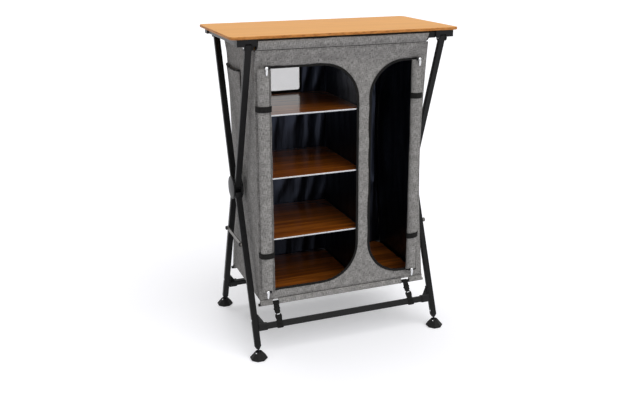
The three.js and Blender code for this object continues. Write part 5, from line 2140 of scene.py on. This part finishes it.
@dataclass(frozen=True)
class BuckleStrap:
    """One strap from the front hem rod to the front bar, with a side-release buckle."""

    flank: str
    rod_x: float
    bar_x: float
    web: Profile = Profile(0.0235, 0.0016, 16, 6.0)
    web_step: float = 0.0015
    above_bar: float = 0.042
    rod_loop: float = 0.0078
    loop_turns: Span = (1.12, -0.35)
    off: float = 0.00105
    prong_web: Span = (-0.004, -0.018)
    prong: Span = (-0.020, -0.0003)
    prong_sizes: Row = (0.017, 0.0215, 0.0225, 0.018, 0.0165)
    prong_deep: float = 0.0072
    crossbar: Span = (-0.0225, -0.016)
    crossbar_sizes: Triple = (0.026, 0.0275, 0.026)
    crossbar_deep: float = 0.0082
    socket_web: float = 0.004
    socket: Span = (0.0003, 0.021)
    socket_sizes: Row = (0.0205, 0.0265, 0.0275, 0.0265, 0.0245)
    socket_deep: float = 0.0086
    loop_below: float = 0.0025
    loop_under: float = 0.0022
    # A thin bright nickel band across the buckle's middle: a painted highlight
    catch: Span = (0.0015, 0.0040)
    catch_sizes: Triple = (0.012, 0.014, 0.012)
    catch_deep: float = 0.0012
    catch_off: float = 0.0036

    @property
    def part(self) -> float:
        """The distance down the legs to where the buckle parts."""
        return LAYOUT.bar_down - self.above_bar

    @property
    def face(self) -> float:
        """The distance of the strap from the legs' middle, where it lies on the bar."""
        return LAYOUT.tube_deep / 2 + self.off

    def slant(self, z: Array | float) -> Array | float:
        """Return the strap's X at a height, on its slant from the bar to the rod."""
        low = LAYOUT.lower_point(End.FRONT, LAYOUT.bar_down)[2]
        return self.bar_x + (self.rod_x - self.bar_x) * ((z - low) / (SHAPE.rod_z - low))

    def at(self, down: float, out: float) -> Array:
        """Return a strap point: a distance down the leg plane and out from it."""
        point = LAYOUT.lower_point(End.FRONT, down, out)
        point[0] = self.slant(point[2])
        return point

    def shell(self, span: Span, out: float, sizes: Sequence[float], deep: float) -> Shape:
        """Carry a rounded box along the strap, with a size at each share of the way."""
        start, stop = (self.at(self.part + down, out) for down in span)
        path = start + (stop - start) * np.linspace(0, 1, len(sizes))[:, None]
        outline = Profile(max(sizes), deep, 24, 4.0).outline()
        return carried(outline, path, ACROSS, scale=np.array(sizes) / max(sizes))[:2]

    def strap(self, half: str, path: Array, shells: Sequence[Shape], body: str) -> None:
        """Carry the webbing along a path, and add the shells of its half of the buckle."""
        web = carried(self.web.outline(), respaced(path, self.web_step), ACROSS)[:2]
        points, faces = stacked([web, *shells])
        name = f"{self.flank}_{half}_strap"
        piece = add_piece(f"{name}_webbing", points, faces, body, TAPE_AND_PAINTED_SHADOW, points[:, [0, 2]])
        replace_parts(piece, name)

    def build(self) -> None:
        """Loop the upper webbing round the rod and the lower webbing round the bar."""
        face, bar = self.face, LAYOUT.bar_down
        angle = np.pi * np.linspace(*self.loop_turns, 26)
        y = -SHAPE.half_depth - SHAPE.cloth / 2 + self.rod_loop * np.cos(angle)
        z = SHAPE.rod_z + self.rod_loop * np.sin(angle)
        starts = [self.at(self.part + down, face) for down in self.prong_web]
        path = np.concatenate([starts, columns(self.slant(z), y, z)])
        prong = self.shell(self.prong, face, self.prong_sizes, self.prong_deep)
        crossbar = self.shell(self.crossbar, face, self.crossbar_sizes, self.crossbar_deep)
        self.strap("upper", path, [prong, crossbar], FRAME)
        half = LAYOUT.tube_wide / 2 + self.off
        below = bar + half + self.loop_below
        turns = ((self.part + self.socket_web, face), (bar - half, face), (below, face))
        turns += ((below, -face), (bar - half, -face), (bar - half, face - self.loop_under))
        path = rounded(np.array([self.at(*turn) for turn in turns]), 2)
        socket = self.shell(self.socket, face, self.socket_sizes, self.socket_deep)
        self.strap("lower", path, [socket], LEG_BODY[End.FRONT])
        # The buckle's painted highlight: a thin nickel band laid over it
        catch = self.shell(self.catch, face + self.catch_off, self.catch_sizes, self.catch_deep)
        add_piece(f"{self.flank}_buckle_catch", *catch, LEG_BODY[End.FRONT], NICKEL_AND_PAINTED_HIGHLIGHT)


BUCKLE_STRAPS = (
    BuckleStrap("left", rod_x=-0.296, bar_x=-0.2875),
    BuckleStrap("right", rod_x=0.272, bar_x=0.289),
)


# The studio


@dataclass
class Studio:
    """A pale floor and backdrop, soft lamps, and the camera at the photograph's angle."""

    camera_place: Triple = (-1.1713, -2.9924, 1.5867)
    yaw: float = 0.3648
    pitch: float = 0.2871
    roll: float = -0.0030
    lens: float = 45.367
    sensor: float = 36.0
    shift_y: float = -0.04
    white: str = "#FFFFFF"
    floor_reach: float = 30.0
    floor_tone: str = "#E6E6EA"
    floor_glow: float = 0.31
    key_from: Triple = (0.24, -0.55, 0.80)
    key_power: float = 1.68
    key_spread: float = 60.0
    top_from: Triple = (-0.04, 0.22, 0.97)
    top_power: float = 0.70
    top_spread: float = 30.0
    ambient: float = 0.39
    backdrop_edge: Span = (-0.25, 0.25)
    camera_side: float = 0.9

    def build(self) -> None:
        """Build the floor, the world, the lamps and the camera."""
        self.floor()
        self.world()
        self.lamp("key_lamp", self.key_from, self.key_spread, self.key_power)
        self.lamp("top_lamp", self.top_from, self.top_spread, self.top_power)
        self.camera()

    def seen(self, tree: Tree) -> Socket:
        """Return one for rays of the camera, of gloss and of clear materials."""
        rays = add_node(tree, "ShaderNodeLightPath").outputs
        both = maths(tree, "MAXIMUM", rays["Is Camera Ray"], rays["Is Glossy Ray"])
        return maths(tree, "MAXIMUM", both, rays["Is Transmission Ray"])

    def light(self, tree: Tree, kind: str, strength: Socket | float) -> Socket:
        """Add a node that gives white light of some strength, and return its first output."""
        inputs = {"Color": linear(self.white), "Strength": strength}
        return add_node(tree, kind, inputs).outputs[0]

    def floor(self) -> None:
        """Lay a wide floor: a share of white is added to what the camera sees of it."""
        mesh = bpy.data.meshes.new("studio_floor")
        square = np.array([[-1, -1, 0], [1, -1, 0], [1, 1, 0], [-1, 1, 0]])
        fill_mesh(mesh, square * self.floor_reach, [np.array([[0, 1, 2, 3]])])
        material = bpy.data.materials.new("studio_floor")
        tree = fresh_tree(material)
        matt = add_node(tree, "ShaderNodeBsdfDiffuse", {"Color": linear(self.floor_tone)})
        share = maths(tree, "MULTIPLY", self.seen(tree), self.floor_glow)
        parts = {0: matt.outputs["BSDF"], 1: self.light(tree, "ShaderNodeEmission", share)}
        both = add_node(tree, "ShaderNodeAddShader", parts).outputs["Shader"]
        add_node(tree, "ShaderNodeOutputMaterial", {"Surface": both})
        mesh.materials.append(material)
        linked("studio_floor", mesh)

    def world(self) -> None:
        """Set a white backdrop for the camera and gloss, and a softer world that lights.

        What gloss sees fades from the white backdrop behind the wardrobe to the dimmer room
        on the doors' side.
        """
        world = bpy.data.worlds.new("studio")
        bpy.context.scene.world = world
        tree = fresh_tree(world)
        aim = add_node(tree, "ShaderNodeTexCoord").outputs["Generated"]
        back = add_node(tree, "ShaderNodeSeparateXYZ", {"Vector": aim}).outputs["Y"]
        low, high = self.backdrop_edge
        fade = {"Value": back, "From Min": low, "From Max": high, "To Min": self.camera_side}
        room = add_node(tree, "ShaderNodeMapRange", fade, interpolation_type="SMOOTHSTEP")
        straight = add_node(tree, "ShaderNodeLightPath").outputs["Is Camera Ray"]
        level = maths(tree, "MAXIMUM", straight, room.outputs["Result"])
        soft = self.light(tree, "ShaderNodeBackground", self.ambient)
        bright = self.light(tree, "ShaderNodeBackground", level)
        mixed = add_node(tree, "ShaderNodeMixShader", {0: self.seen(tree), 1: soft, 2: bright})
        add_node(tree, "ShaderNodeOutputWorld", {"Surface": mixed.outputs["Shader"]})

    def lamp(self, name: str, direction: Triple, spread: float, power: float) -> None:
        """Light the studio evenly from one direction, as a wide soft box far away does."""
        light = bpy.data.lights.new(name, "SUN")
        light.angle = math.radians(spread)
        light.energy = power
        lamp = linked(name, light)
        lamp.rotation_euler = Vector(direction).to_track_quat("Z", "Y").to_euler()

    def camera(self) -> None:
        """Stand the camera where the photograph was taken from."""
        data = bpy.data.cameras.new("camera")
        data.sensor_width = self.sensor
        data.lens = self.lens
        data.shift_y = self.shift_y
        camera = linked("camera", data)
        ahead = math.cos(self.pitch)
        across, deep = math.sin(self.yaw) * ahead, math.cos(self.yaw) * ahead
        forward = Vector((across, deep, -math.sin(self.pitch)))
        right = Vector((math.cos(self.yaw), -math.sin(self.yaw), 0.0))
        up = right.cross(forward)
        turned_right = right * math.cos(self.roll) + up * math.sin(self.roll)
        turned_up = up * math.cos(self.roll) - right * math.sin(self.roll)
        matrix = Matrix((turned_right, turned_up, -forward)).transposed().to_4x4()
        matrix.translation = Vector(self.camera_place)
        camera.matrix_world = matrix
        bpy.context.scene.camera = camera


def main() -> None:
    """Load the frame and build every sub-assembly in order."""
    logging.basicConfig(level=logging.INFO, format="%(name)s: %(message)s")
    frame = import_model()
    nodes = frame["nodes"]
    for assembly in (
        Studio(), Worktop(nodes), TubeFrame(nodes), Feet(nodes), Cabinet(), DoorTrim(),
        SidePocket(), Boards(nodes), *BUCKLE_STRAPS,
    ):
        assembly.build()
    view_settings = bpy.context.scene.view_settings
    view_settings.view_transform = "Standard"


if __name__ == "__main__":
    main()
